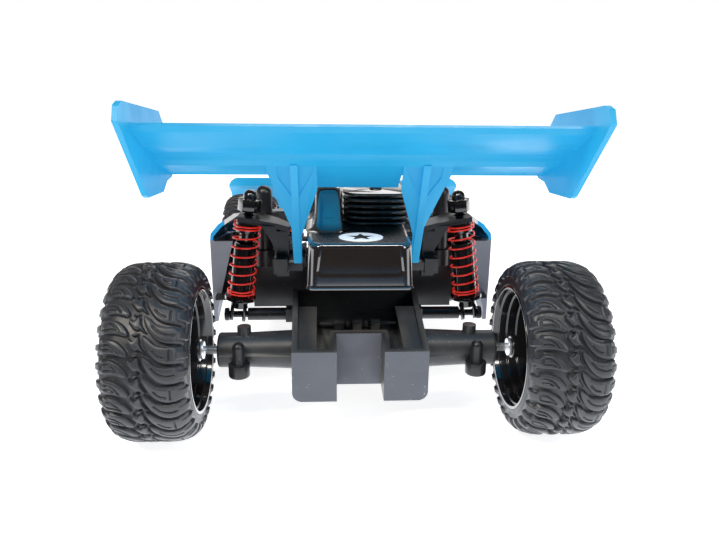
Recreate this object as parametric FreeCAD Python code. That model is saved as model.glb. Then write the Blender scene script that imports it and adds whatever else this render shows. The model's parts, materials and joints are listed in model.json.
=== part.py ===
import FreeCAD, Part
import math
import os

# Remote control buggy.  Millimetres, +Y is the front, +X the right-hand side, +Z up.
# The origin is on the ground under the middle of the car's bounding box.

# ---- driving dimensions ----
WHEEL_RADIUS = 43.0
WHEEL_WIDTH = 39.5
WHEELBASE = 202.0
REAR_OVERHANG = 61.2          # rear axle to the back of the wing's end plates
FRONT_BUMPER_REACH = 260.0    # rear axle to the front of the bumper
REAR_TRACK_INSIDE = 74.8      # middle of the car to a rear wheel's inner face
FRONT_TRACK_INSIDE = 52.5     # middle of the car to a front wheel's inner face
AXLE_SHAFT_RADIUS = 2.0
RUNNING_CLEARANCE = 0.05

AXLE_Z = WHEEL_RADIUS
REAR_AXLE_Y = (REAR_OVERHANG - FRONT_BUMPER_REACH) / 2
FRONT_AXLE_Y = REAR_AXLE_Y + WHEELBASE

# chassis
FLOOR_Z = 18.0
DECK_Z = 46.0
DECK_THICKNESS = 2.5
DECK_HALF_WIDTH = 56.0
TUB_HALF_WIDTH = 34.0
NOSE_HALF_WIDTH = 20.0
NOSE_TOP_Z = 48.0
WALL = 2.0

# rear axle unit
BUMPER_REACH = 28.0           # behind the rear axle
CASE_HALF_WIDTH = 31.0
CASE_BOTTOM_Z = 28.8
CASE_WALL = 1.5
AXLE_TUBE_RADIUS = 8.5
AXLE_TUBE_END = 67.5
SWING_PIVOT_Y = REAR_AXLE_Y + 88.0
SWING_PIVOT_Z = 38.0
SWING_ARM_X = (22.0, 29.0)

# gear train: axle gear, compound idler, motor pinion
AXLE_GEAR_TEETH = 36
IDLER_SMALL_TEETH = 12
IDLER_LARGE_TEETH = 30
PINION_TEETH = 10
COARSE_MODULE = 0.6
FINE_MODULE = 0.5
PRESSURE_ANGLE = math.radians(20.0)
GEAR_BACKLASH = 0.16
IDLER_AT = (REAR_AXLE_Y + 14.2, AXLE_Z - 2.4)
PINION_ANGLE = math.radians(-8.0)

# shock absorbers
SHOCK_BORE_RADIUS = 4.75
SHOCK_ROD_RADIUS = 3.65
SPRING_RADIUS = 6.65
SPRING_WIRE = 0.85
SPRING_TURNS = 10
STEPS_PER_TURN = 14
WIRE_SIDES = 6
JOURNAL_RADIUS = 1.75
REAR_SHOCK_TOP = (55.0, REAR_AXLE_Y + 37.0, 104.0)
REAR_SHOCK_FOOT = (62.5, REAR_AXLE_Y + 37.0, 48.0)
FRONT_SHOCK_TOP = (33.0, FRONT_AXLE_Y + 12.0, 98.0)
FRONT_SHOCK_FOOT = (42.0, FRONT_AXLE_Y + 12.0, 43.0)

# steering
KINGPIN_X = 58.0
STEER_ARM = 15.0
ARM_PIVOT_X = 22.0
ARM_PIVOT_Z = 36.0

# rear wing
POD_HALF_WIDTH = 81.0
POD_REAR_Z = 82.0               # lower edge of the pods' skin at the bulkhead
POD_FRONT_Z = 70.0              # and at the front wheels
FENDER_HALF_WIDTH = 93.0
WING_HALF_SPAN = 88.0
STRUT_X = 29.3

V = FreeCAD.Vector
PARTS_FOLDER = "parts"


# ---- small building blocks ----

def rear(distance):
    """Y of a point this far ahead of the rear axle."""
    return REAR_AXLE_Y + distance


def front(distance):
    """Y of a point this far ahead of the front axle."""
    return FRONT_AXLE_Y + distance


def block(x, y, z):
    return Part.makeBox(x[1] - x[0], y[1] - y[0], z[1] - z[0], V(x[0], y[0], z[0]))


def rod(radius, start, end):
    axis = V(*end) - V(*start)
    return Part.makeCylinder(radius, axis.Length, V(*start), axis)


def cone(start_radius, end_radius, start, end):
    axis = V(*end) - V(*start)
    return Part.makeCone(start_radius, end_radius, axis.Length, V(*start), axis)


def ring(outer, inner, start, end):
    return rod(outer, start, end).cut(rod(inner, start, end))


def slab(points, direction):
    """A flat outline pushed along a direction into a solid."""
    outline = Part.makePolygon([V(*p) for p in points] + [V(*points[0])])
    return Part.Face(outline).extrude(V(*direction))


def side_profile(points, x):
    """An outline given as (y, z), extruded from x[0] to x[1]."""
    return slab([(x[0], y, z) for y, z in points], (x[1] - x[0], 0, 0))


def front_profile(points, y):
    """An outline given as (x, z), extruded from y[0] to y[1]."""
    return slab([(px, y[0], pz) for px, pz in points], (0, y[1] - y[0], 0))


def plan_profile(points, z):
    """An outline given as (x, y), extruded from z[0] to z[1]."""
    return slab([(px, py, z[0]) for px, py in points], (0, 0, z[1] - z[0]))


def hexagon(across_corners, centre, height):
    radius = across_corners / 2
    corners = [(centre[0] + radius * math.cos(math.radians(60 * i)),
                centre[1] + radius * math.sin(math.radians(60 * i))) for i in range(6)]
    return plan_profile(corners, (centre[2], centre[2] + height))


def mirror_x(shape):
    return shape.mirror(V(0, 0, 0), V(1, 0, 0))


def both_sides(shape):
    return shape.fuse(mirror_x(shape))


def group(*solids):
    return Part.makeCompound(list(solids))


def joined(first, *others):
    return first.fuse(list(others)).removeSplitter()


def rounded(shape, radius, chosen):
    """Fillet the edges that the test picks."""
    return shape.makeFillet(radius, [edge for edge in shape.Edges if chosen(edge)])


def runs_along(edge, axis):
    """True for a straight edge parallel to an axis (0, 1 or 2)."""
    if not isinstance(edge.Curve, Part.Line):
        return False
    direction = edge.tangentAt(edge.FirstParameter)
    return abs(direction[axis]) > 0.999


def lathe(outline, x0, y, z, outward=1):
    """Revolve (distance along x, radius) points about the X axis through (y, z)."""
    points = [V(x0 + outward * along, y, z + radius) for along, radius in outline]
    face = Part.Face(Part.makePolygon(points + [points[0]]))
    return face.revolve(V(x0, y, z), V(1, 0, 0), 360)


def save(name, shape):
    shape.exportStep(os.path.join(PARTS_FOLDER, name + ".step"))


# ---- gears ----

def involute(base_radius, angle):
    return (base_radius * (math.cos(angle) + angle * math.sin(angle)),
            base_radius * (math.sin(angle) - angle * math.cos(angle)))


def gear(teeth, module, x, centre, phase):
    """Involute spur gear about an X-parallel axis; a tooth points at angle phase from +Y."""
    pitch = teeth * module / 2
    base = pitch * math.cos(PRESSURE_ANGLE)
    tip = pitch + 0.9 * module
    root = pitch - 1.15 * module
    roll_at_tip = math.sqrt((tip / base) ** 2 - 1)
    roll_at_root = math.sqrt(max((root / base) ** 2 - 1, 0.0))
    half_tooth = math.pi / (2 * teeth) + math.tan(PRESSURE_ANGLE) - PRESSURE_ANGLE
    half_tooth -= GEAR_BACKLASH / (2 * pitch)
    flank = []
    for step in range(5):
        roll = roll_at_root + (roll_at_tip - roll_at_root) * step / 4
        px, py = involute(base, roll)
        flank.append((math.hypot(px, py), half_tooth - math.atan2(py, px)))
    outline = []
    for tooth in range(teeth):
        middle = phase + 2 * math.pi * tooth / teeth
        outline.append((root, middle - half_tooth))
        outline += [(radius, middle - angle) for radius, angle in flank]
        outline += [(radius, middle + angle) for radius, angle in reversed(flank)]
        outline.append((root, middle + half_tooth))
    points = []
    for radius, angle in outline:
        point = (centre[0] + radius * math.cos(angle), centre[1] + radius * math.sin(angle))
        if not points or math.dist(point, points[-1]) > 1e-4:
            points.append(point)
    return side_profile(points, x)


def pinion_centre():
    """The pinion meshes with the idler's large wheel, seen at PINION_ANGLE from the idler."""
    reach = (IDLER_LARGE_TEETH + PINION_TEETH) * FINE_MODULE / 2
    return (IDLER_AT[0] + reach * math.cos(PINION_ANGLE), IDLER_AT[1] + reach * math.sin(PINION_ANGLE))


def angle_to_idler():
    """Direction of the idler seen from the axle."""
    return math.atan2(IDLER_AT[1] - AXLE_Z, IDLER_AT[0] - REAR_AXLE_Y)


def axle_gear():
    axle = (REAR_AXLE_Y, AXLE_Z)
    shape = gear(AXLE_GEAR_TEETH, COARSE_MODULE, (22.0, 26.5), axle, angle_to_idler())
    hub = rod(4.0, (18.5, *axle), (28.5, *axle))
    web = ring(8.6, 5.2, (25.6, *axle), (26.6, *axle))
    shaft = rod(AXLE_SHAFT_RADIUS, (10, *axle), (35, *axle))
    return shape.fuse(hub).cut(web).cut(shaft)


def idler_gear():
    """Two wheels in one; a tooth space of the small wheel faces the axle's tooth."""
    small_phase = angle_to_idler() + math.pi + math.pi / IDLER_SMALL_TEETH
    small = gear(IDLER_SMALL_TEETH, COARSE_MODULE, (21.0, 27.2), IDLER_AT, small_phase)
    large = gear(IDLER_LARGE_TEETH, FINE_MODULE, (16.5, 21.0), IDLER_AT, PINION_ANGLE)
    bore = rod(1.0 + RUNNING_CLEARANCE, (10, *IDLER_AT), (35, *IDLER_AT))
    return small.fuse(large).cut(bore)


def motor_pinion():
    pinion = pinion_centre()
    pinion_phase = PINION_ANGLE + math.pi + math.pi / PINION_TEETH
    shape = gear(PINION_TEETH, FINE_MODULE, (15.5, 21.2), pinion, pinion_phase)
    shaft = rod(0.75, (8, *pinion), (24, *pinion))
    motor_shaft = rod(0.75, (13.3, *pinion), (22.4, *pinion))
    return shape.cut(shaft).fuse(motor_shaft)


# ---- wheels ----

def tyre(inside, axle_y):
    """Tyre with rounded shoulders; the bead sits between the rim's flanges."""
    half = WHEEL_WIDTH / 2
    side = [(-half + 1.6, 31.0), (-half + 1.6, 33.2), (-half + 0.3, 35.5), (-half, 38.0)]
    shoulder_mid = (-half + 2.0, 41.0)
    tread_edge = (-half + 6.0, WHEEL_RADIUS - 0.5)
    middle = inside + half

    def at(point, flip=1):
        return V(middle + flip * point[0], axle_y, AXLE_Z + point[1])

    edges = [Part.LineSegment(at(side[i]), at(side[i + 1])) for i in range(3)]
    edges.append(Part.Arc(at(side[3]), at(shoulder_mid), at(tread_edge)))
    edges.append(Part.Arc(at(tread_edge), at((0, WHEEL_RADIUS)), at(tread_edge, -1)))
    edges.append(Part.Arc(at(tread_edge, -1), at(shoulder_mid, -1), at(side[3], -1)))
    edges += [Part.LineSegment(at(side[i + 1], -1), at(side[i], -1)) for i in (2, 1, 0)]
    edges.append(Part.LineSegment(at(side[0], -1), at(side[0])))
    outline = Part.Wire([edge.toShape() for edge in edges])
    solid = Part.Face(outline).revolve(V(0, axle_y, AXLE_Z), V(1, 0, 0), 360)
    air = lathe([(4.4, 30.0), (4.4, 38.0), (8.0, 40.4), (WHEEL_WIDTH - 8.0, 40.4), (WHEEL_WIDTH - 4.4, 38.0),
                 (WHEEL_WIDTH - 4.4, 30.0)], inside, axle_y, AXLE_Z)
    return solid.cut(air)


def rim(inside, axle_y, hub_start, bore_radius):
    """Deep dish rim: stepped barrel open to the car, closed disc with five spokes outside."""
    width = WHEEL_WIDTH
    disc = (26.0, 28.5)
    barrel = [(0.0, 28.7), (0.0, 33.0), (1.5, 33.0), (1.5, 31.0), (width - 1.5, 31.0),
              (width - 1.5, 33.0), (width, 33.0), (width, 29.6), (width - 4.0, 28.6), (disc[1], 27.4),
              (disc[1], 5.0), (disc[0], 5.0), (disc[0], 24.2), (17.0, 24.8), (17.0, 26.2), (8.0, 26.8),
              (8.0, 28.0)]
    shape = lathe(barrel, inside, axle_y, AXLE_Z)
    hub = rod(5.5, (inside + hub_start, axle_y, AXLE_Z), (inside + 31.0, axle_y, AXLE_Z))
    spoke_outline = [(axle_y - 3.4, AXLE_Z + 4), (axle_y - 2.2, AXLE_Z + 28), (axle_y + 2.2, AXLE_Z + 28),
                     (axle_y + 3.4, AXLE_Z + 4)]
    spoke = side_profile(spoke_outline, (inside + disc[1] - 0.5, inside + 32.5))
    spokes = []
    for index in range(5):
        turned = spoke.copy()
        turned.rotate(V(0, axle_y, AXLE_Z), V(1, 0, 0), 72 * index)
        spokes.append(turned)
    shape = shape.fuse([hub] + spokes)
    bore = rod(bore_radius, (inside - 5, axle_y, AXLE_Z), (inside + 45, axle_y, AXLE_Z))
    nut_seat = rod(6.2, (inside + 30.0, axle_y, AXLE_Z), (inside + 40.0, axle_y, AXLE_Z))
    return shape.cut(bore).cut(nut_seat)


def axle_nut(inside, axle_y, bore_radius):
    """Flanged hexagon nut in the wheel's outer face."""
    start = inside + 30.0 + RUNNING_CLEARANCE
    corners = [(axle_y + 4.2 * math.cos(math.radians(60 * i)), AXLE_Z + 4.2 * math.sin(math.radians(60 * i)))
               for i in range(6)]
    body = side_profile(corners, (start + 0.8, start + 4.2))
    flange = rod(5.2, (start, axle_y, AXLE_Z), (start + 0.8, axle_y, AXLE_Z))
    bore = rod(bore_radius, (start - 1, axle_y, AXLE_Z), (start + 8, axle_y, AXLE_Z))
    return body.fuse(flange).cut(bore)


def rear_axle_shaft():
    end = REAR_TRACK_INSIDE + 35.0
    return rod(AXLE_SHAFT_RADIUS, (-end, REAR_AXLE_Y, AXLE_Z), (end, REAR_AXLE_Y, AXLE_Z))


def rear_axle_washers():
    start = REAR_TRACK_INSIDE - 0.1
    washer = ring(4.35, AXLE_SHAFT_RADIUS, (start, REAR_AXLE_Y, AXLE_Z), (start + 1.5, REAR_AXLE_Y, AXLE_Z))
    return group(washer, mirror_x(washer))


def rear_wheel_nuts():
    nut = axle_nut(REAR_TRACK_INSIDE, REAR_AXLE_Y, AXLE_SHAFT_RADIUS)
    return group(nut, mirror_x(nut))


# ---- rear axle unit ----

def case_rim_z(y):
    """Height of the tray's rim, which climbs towards the front."""
    return 53.0 + (y - rear(-BUMPER_REACH)) * 0.148


def case_outer():
    """The two bumper lobes, the block between them, and the tray above."""
    y0 = rear(-BUMPER_REACH)
    y1 = rear(36.0)
    outline = [(y0, CASE_BOTTOM_Z), (y1, CASE_BOTTOM_Z + 2), (y1, case_rim_z(y1)), (y0, case_rim_z(y0))]
    side = side_profile(outline, (-40, 40))
    plan = plan_profile([(-CASE_HALF_WIDTH, y0), (CASE_HALF_WIDTH, y0), (33.0, y1), (-33.0, y1)], (20, 70))
    body = side.common(plan)
    body = rounded(body, 4.5, lambda e: e.CenterOfMass.z < 31.0 and abs(e.CenterOfMass.x) > 30.0)
    notch = block((-10.7, 10.7), (y0 - 1, rear(-11.5)), (20, 70))
    return body.cut(notch)


def axle_tubes():
    tube = cone(9.6, AXLE_TUBE_RADIUS, (28.0, REAR_AXLE_Y, AXLE_Z), (52.0, REAR_AXLE_Y, AXLE_Z))
    end = rod(AXLE_TUBE_RADIUS, (52.0, REAR_AXLE_Y, AXLE_Z), (AXLE_TUBE_END, REAR_AXLE_Y, AXLE_Z))
    end = rounded(end, 1.2, lambda e: e.BoundBox.XMin > AXLE_TUBE_END - 0.1)
    knob = rod(3.3, (55.0, REAR_AXLE_Y, AXLE_Z), (55.0, REAR_AXLE_Y, 55.2))
    return both_sides(tube.fuse([end, knob]))


def case_cavity():
    """Room for the gears and the motor, and the bore of the axle tubes."""
    low = CASE_BOTTOM_Z + CASE_WALL
    top = 49.0
    middle = block((-29.4, 29.4), (rear(-9.9), rear(34.6)), (low + 1.4, top))
    lobe = block((12.2, 29.4), (rear(-14.0), rear(0)), (low, top))
    gear_room = rod(12.0, (20.8, REAR_AXLE_Y, AXLE_Z), (29.4, REAR_AXLE_Y, AXLE_Z))
    bore = rod(4.5, (20.0, REAR_AXLE_Y, AXLE_Z), (AXLE_TUBE_END + 1, REAR_AXLE_Y, AXLE_Z))
    return middle.fuse([both_sides(lobe), gear_room, both_sides(bore)])


def screw_places():
    return [(26.0, rear(-20.5)), (-26.0, rear(-20.5)), (26.0, rear(30.5)), (-26.0, rear(30.5))]


def case_columns():
    """Posts that the screws go through."""
    return [rod(3.2, (x, y, CASE_BOTTOM_Z + 1), (x, y, 50.0)) for x, y in screw_places()]


def screw_holes():
    holes = []
    for x, y in screw_places():
        holes.append(rod(1.5, (x, y, 20), (x, y, 48.0)))
        holes.append(rod(2.9, (x, y, 20), (x, y, 32.5)))
    return holes


def tray_recess():
    """The open tray on top of the case."""
    y0 = rear(-BUMPER_REACH + 3.0)
    y1 = rear(33.0)
    plan = plan_profile([(-28.2, y0), (28.2, y0), (30.2, y1), (-30.2, y1)], (50.4, 70))
    keep = block((-13.6, 13.6), (y0 - 1, rear(-8.4)), (50, 60))
    pad = side_profile([(rear(-24.9), 50), (rear(-24.9), case_rim_z(rear(-24.9)) - 1.2),
                        (rear(18.0), case_rim_z(rear(18.0)) - 1.2), (rear(18.0), 50)], (20.0, 30.6))
    return plan.cut(keep).cut(both_sides(pad))


def case_half(half):
    """One half of the case: the part of the outer shape inside a half space, hollowed out."""
    solid = case_outer().common(half).fuse(axle_tubes().common(half))
    hollow = solid.cut(case_cavity().cut(group(*case_columns())))
    return hollow.cut(tray_recess()).cut(screw_holes())


def below_seam():
    return block((-90, 90), (rear(-60), rear(120)), (0, AXLE_Z))


def above_seam():
    return block((-90, 90), (rear(-60), rear(120)), (AXLE_Z, 90))


def swing_arms():
    """Two arms from the case to the suspension pivot under the deck."""
    bar = block(SWING_ARM_X, (rear(34.0), SWING_PIVOT_Y), (33.4, 40.0))
    pivot = (SWING_PIVOT_Y, SWING_PIVOT_Z)
    eye = rod(5.2, (SWING_ARM_X[0], *pivot), (SWING_ARM_X[1], *pivot))
    bore = rod(2.0 + RUNNING_CLEARANCE, (0, *pivot), (50, *pivot))
    brace = block((-24.0, 24.0), (rear(52.0), rear(58.0)), (33.4, 39.0))
    return both_sides(bar.fuse(eye).cut(bore)).fuse(brace)


def motor_bed():
    """Idler pin in its two posts, and the cradle under the motor."""
    post = block((27.4, 30.0), (IDLER_AT[0] - 3, IDLER_AT[0] + 3), (29.8, AXLE_Z))
    pin = rod(1.0, (14.2, *IDLER_AT), (28.0, *IDLER_AT))
    cheek = block((13.9, 16.2), (IDLER_AT[0] - 2, IDLER_AT[0] + 2), (29.8, IDLER_AT[1] + 2))
    return [post, pin, cheek]


def shock_bar_seats():
    """Stubs on the case's front corners that carry the shock mount bars."""
    return both_sides(block((30.0, 37.0), (rear(33.4), rear(40.4)), (44.4, 51.6)))


def gearbox_lower():
    shape = case_half(below_seam())
    return joined(shape, swing_arms(), *motor_bed())


def tray_bar():
    """Round bar across the tray between the pads, with three knuckles on it."""
    y = rear(7.6)
    bar = rod(1.3, (-20.4, y, 53.0), (20.4, y, 53.0))
    knuckles = []
    for x in (-9.0, 0.0, 9.0):
        knuckle = block((x - 2.3, x + 2.3), (rear(5.0), rear(9.6)), (50.2, 55.6))
        knuckles.append(rounded(knuckle, 1.5, lambda e: runs_along(e, 0) and e.CenterOfMass.z > 55.0))
    collars = [rod(1.9, (x - 0.8, y, 53.0), (x + 0.8, y, 53.0)) for x in (-4.5, 4.5)]
    return [bar] + knuckles + collars


def gearbox_upper():
    stub_bore = both_sides(rod(2.6, (34.0, rear(37.0), 48.0), (40.0, rear(37.0), 48.0)))
    shape = case_half(above_seam())
    return joined(shape, shock_bar_seats(), *tray_bar()).cut(stub_bore)


def gearbox_screws():
    screws = []
    for x, y in screw_places():
        head = rod(2.7, (x, y, 30.4), (x, y, 32.5))
        slot = block((x - 2.2, x + 2.2), (y - 0.35, y + 0.35), (30.3, 31.2))
        cross = block((x - 0.35, x + 0.35), (y - 2.2, y + 2.2), (30.3, 31.2))
        shank = rod(1.5, (x, y, 32.5), (x, y, 46.5))
        screws.append(head.fuse(shank).cut(slot).cut(cross))
    return group(*screws)


def drive_motor():
    """Small can motor with two flats, lying across the case."""
    pinion = pinion_centre()
    can = rod(10.0, (-12.5, *pinion), (12.5, *pinion))
    flats = block((-13, 13), (pinion[0] - 11, pinion[0] + 11), (pinion[1] - 7.4, pinion[1] + 7.4))
    nose = ring(3.0, 0.9, (12.5, *pinion), (13.2, *pinion))
    tail = ring(4.2, 0.9, (-14.0, *pinion), (-12.5, *pinion))
    shape = can.common(flats).cut(rod(0.9, (8, *pinion), (20, *pinion)))
    return joined(shape, nose, tail)


def shock_mount_bars():
    """Round bars from the case out to the feet of the rear shocks."""
    y = rear(37.0)
    bar = rod(3.4, (37.0, y, 48.0), (57.4, y, 48.0))
    spigot = rod(2.6, (34.0, y, 48.0), (37.0, y, 48.0))
    journal = rod(JOURNAL_RADIUS, (57.0, y, 48.0), (67.8, y, 48.0))
    head = rod(3.5, (67.5, y, 48.0), (69.7, y, 48.0))
    shape = joined(bar, spigot, journal, head)
    return group(shape, mirror_x(shape))


def axle_tube_bolts():
    """Domed posts in cups, on the back of each axle tube."""
    x, y = (56.5, rear(-11.6))
    cup = rod(5.0, (x, y, 34.2), (x, y, 40.6))
    cup = rounded(cup, 1.2, lambda e: e.BoundBox.ZMax < 34.3)
    post = rod(2.9, (x, y, 36.0), (x, y, 48.6))
    dome = Part.makeSphere(2.9, V(x, y, 48.6))
    shape = joined(cup, post, dome).cut(axle_tubes())
    return group(shape, mirror_x(shape))


def axle_bushes():
    bush = ring(4.5, AXLE_SHAFT_RADIUS + RUNNING_CLEARANCE, (61.0, REAR_AXLE_Y, AXLE_Z),
                (AXLE_TUBE_END, REAR_AXLE_Y, AXLE_Z))
    return group(bush, mirror_x(bush))


# ---- shock absorbers, built upright on the origin and then leaned into place ----

def lean_between(shape, foot, top):
    """Move a shape from the Z axis onto the line from foot to top."""
    axis = V(*top) - V(*foot)
    placed = shape.copy()
    leaned = FreeCAD.Placement(V(*foot), FreeCAD.Rotation(V(0, 0, 1), axis))
    placed.Placement = leaned.multiply(shape.Placement)
    return placed


def shock_length(foot, top):
    return (V(*top) - V(*foot)).Length


def shock_rod(length, neck_radius):
    """Plunger with collar, neck and domed cap nut; the foot of the shock is at z = 0."""
    plunger = rod(SHOCK_ROD_RADIUS, (0, 0, 21.5), (0, 0, length - 5.0))
    collar = rod(5.9, (0, 0, length - 10.4), (0, 0, length - 4.8))
    neck = rod(neck_radius, (0, 0, length - 6.0), (0, 0, length + 2.0))
    nut = hexagon(12.0, (0, 0, length + 0.6), 6.4)
    dome = rod(3.6, (0, 0, length + 6.0), (0, 0, length + 8.2))
    cap = Part.makeSphere(3.6, V(0, 0, length + 8.2))
    return joined(plunger, collar, neck, nut, dome, cap)


def shock_body():
    """Fluted sleeve with a spring seat and a forked foot."""
    sleeve = rod(5.7, (0, 0, 9.0), (0, 0, 40.2))
    seat = rod(8.2, (0, 0, 9.0), (0, 0, 10.8))
    neck = rod(4.6, (0, 0, 4.4), (0, 0, 9.5))
    foot = joined(rod(3.9, (-4.2, 0, 0), (4.2, 0, 0)), block((-4.2, 4.2), (-3.9, 3.9), (0, 5.5)))
    gap = block((-2.3, 2.3), (-5, 5), (-5, 4.6))
    shape = joined(sleeve, seat, neck, foot.cut(gap))
    for index in range(8):
        groove = rod(0.5, (0, 5.9, 13.0), (0, 5.9, 42.0))
        groove.rotate(V(0, 0, 0), V(0, 0, 1), 45 * index)
        shape = shape.cut(groove)
    bore = rod(SHOCK_BORE_RADIUS, (0, 0, 13.0), (0, 0, 42.0))
    return shape.cut(bore)


def wire_ring(angle, height):
    """Corners of the spring wire's hexagonal section at one station of the helix."""
    corners = []
    for side in range(WIRE_SIDES):
        around = 2 * math.pi * side / WIRE_SIDES
        radius = SPRING_RADIUS + SPRING_WIRE / 2 * math.cos(around)
        corners.append(V(radius * math.cos(angle), radius * math.sin(angle),
                         height + SPRING_WIRE / 2 * math.sin(around)))
    return corners


def coil_spring(length):
    """Helical spring between the seat and the tower arm, wound from short straight lengths."""
    bottom = 11.0 + SPRING_WIRE
    top = length - 5.4 - SPRING_WIRE
    steps = SPRING_TURNS * STEPS_PER_TURN
    rings = [wire_ring(2 * math.pi * step / STEPS_PER_TURN, bottom + (top - bottom) * step / steps)
             for step in range(steps + 1)]
    faces = [Part.Face(Part.makePolygon(list(reversed(rings[0])) + [rings[0][-1]])),
             Part.Face(Part.makePolygon(rings[-1] + [rings[-1][0]]))]
    for near, far in zip(rings, rings[1:]):
        for side in range(WIRE_SIDES):
            following = (side + 1) % WIRE_SIDES
            first = [near[side], near[following], far[following], near[side]]
            second = [near[side], far[following], far[side], near[side]]
            faces += [Part.Face(Part.makePolygon(corners)) for corners in (first, second)]
    return Part.makeSolid(Part.makeShell(faces))


def rear_shock_body():
    """Rear sleeve in place; its foot's cross hole is level and lies across the car."""
    x, y, z = REAR_SHOCK_FOOT
    eye = rod(JOURNAL_RADIUS + RUNNING_CLEARANCE, (x - 8, y, z), (x + 8, y, z))
    return lean_between(shock_body(), REAR_SHOCK_FOOT, REAR_SHOCK_TOP).cut(eye)


def front_shock_body():
    """Front sleeve in place; its foot is turned so that the cross hole lies along the car."""
    x, y, z = FRONT_SHOCK_FOOT
    upright = shock_body()
    upright.rotate(V(0, 0, 0), V(0, 0, 1), 90)
    eye = rod(JOURNAL_RADIUS + RUNNING_CLEARANCE, (x, y - 8, z), (x, y + 8, z))
    return lean_between(upright, FRONT_SHOCK_FOOT, FRONT_SHOCK_TOP).cut(eye)


def rear_shock_rod():
    """Plunger in place, with the level rocker that lets its neck tip in the tower's hole."""
    x, y, z = REAR_SHOCK_TOP
    upright = shock_rod(shock_length(REAR_SHOCK_FOOT, REAR_SHOCK_TOP), 2.2)
    plunger = lean_between(upright, REAR_SHOCK_FOOT, REAR_SHOCK_TOP)
    rocker = rod(2.5, (x - 1.5, y, z), (x + 1.5, y, z))
    return joined(plunger, rocker)


def rear_springs():
    spring = lean_between(coil_spring(shock_length(REAR_SHOCK_FOOT, REAR_SHOCK_TOP)),
                          REAR_SHOCK_FOOT, REAR_SHOCK_TOP)
    return group(spring, mirror_x(spring))


def front_shock_rods():
    length = shock_length(FRONT_SHOCK_FOOT, FRONT_SHOCK_TOP)
    shape = lean_between(shock_rod(length, 2.2), FRONT_SHOCK_FOOT, FRONT_SHOCK_TOP)
    shape = shape.cut(front_tower_arm_solid())
    return group(shape, mirror_x(shape))


# ---- chassis ----

def chassis_tub():
    """Deck, tub for the battery and radio, and the narrow nose that carries the steering."""
    deck_top = DECK_Z + DECK_THICKNESS
    tub = block((-TUB_HALF_WIDTH, TUB_HALF_WIDTH), (rear(95.0), rear(165.0)), (FLOOR_Z, deck_top))
    nose = block((-NOSE_HALF_WIDTH, NOSE_HALF_WIDTH), (rear(160.0), rear(242.0)), (FLOOR_Z, NOSE_TOP_Z))
    deck = block((-DECK_HALF_WIDTH, DECK_HALF_WIDTH), (rear(60.0), rear(144.0)), (DECK_Z, deck_top))
    outer = joined(tub, nose, deck)
    outer = rounded(outer, 3.0, lambda e: runs_along(e, 2) and e.BoundBox.YMin > rear(160.0))
    tub_room = block((-TUB_HALF_WIDTH + WALL, TUB_HALF_WIDTH - WALL), (rear(97.0), rear(163.0)),
                     (FLOOR_Z + 2.4, 60.0))
    nose_room = block((-NOSE_HALF_WIDTH + WALL, NOSE_HALF_WIDTH - WALL), (rear(150.0), rear(240.0)),
                      (FLOOR_Z + 2.4, 60.0))
    hatch = block((-31.0, 31.0), (rear(99.0), rear(133.0)), (FLOOR_Z - 1, FLOOR_Z + 3))
    switch_slot = block((TUB_HALF_WIDTH - 3, TUB_HALF_WIDTH + 3), (rear(136.0), rear(146.0)), (26.0, 31.0))
    shape = outer.cut(tub_room).cut(nose_room).cut(hatch).cut(switch_slot)
    shape = shape.cut(deck_screw_holes()).cut(window_under_bulkhead())
    return joined(shape, both_sides(rear_lug()), both_sides(front_lugs())).cut(pin_holes())


def window_under_bulkhead():
    """Cut-out in the deck above the swing arms' cross brace."""
    return block((-20.0, 20.0), (rear(64.0), rear(90.0)), (40.0, 60.0))


def rear_lug():
    """Lug under the deck, outboard of a swing arm's eye."""
    eye = rod(5.0, (29.4, SWING_PIVOT_Y, SWING_PIVOT_Z), (33.6, SWING_PIVOT_Y, SWING_PIVOT_Z))
    web = block((29.4, 33.6), (SWING_PIVOT_Y - 5, SWING_PIVOT_Y + 7.5), (SWING_PIVOT_Z, DECK_Z + 1))
    return eye.fuse(web)


def front_lugs():
    """Two lugs on each side of the nose that hold a front arm's pin."""
    lugs = []
    x = ARM_PIVOT_X + 2
    for start, end in ((-18.0, -13.4), (13.4, 18.0)):
        eye = rod(3.6, (x, front(start), ARM_PIVOT_Z), (x, front(end), ARM_PIVOT_Z))
        web = block((NOSE_HALF_WIDTH - 1, x), (front(start), front(end)),
                    (ARM_PIVOT_Z - 3.6, ARM_PIVOT_Z + 3.6))
        lugs.append(eye.fuse(web))
    return group(*lugs)


def deck_screw_places():
    return [(side * 50.0, rear(distance)) for side in (-1, 1) for distance in (72.0, 134.0)]


def deck_screw_holes():
    return [rod(1.5, (x, y, 40), (x, y, 60)) for x, y in deck_screw_places()]


def pin_holes():
    holes = [rod(2.0, (-40, SWING_PIVOT_Y, SWING_PIVOT_Z), (40, SWING_PIVOT_Y, SWING_PIVOT_Z))]
    for side in (-1, 1):
        x = side * (ARM_PIVOT_X + 2)
        holes.append(rod(1.5, (x, front(-25), ARM_PIVOT_Z), (x, front(25), ARM_PIVOT_Z)))
    return holes


def suspension_pins():
    """The rear swing pin and the two front arm pins."""
    swing = rod(2.0, (-34.6, SWING_PIVOT_Y, SWING_PIVOT_Z), (34.6, SWING_PIVOT_Y, SWING_PIVOT_Z))
    x = ARM_PIVOT_X + 2
    arm_pin = rod(1.5, (x, front(-18.8), ARM_PIVOT_Z), (x, front(18.8), ARM_PIVOT_Z))
    return group(swing, arm_pin, mirror_x(arm_pin))


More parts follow.
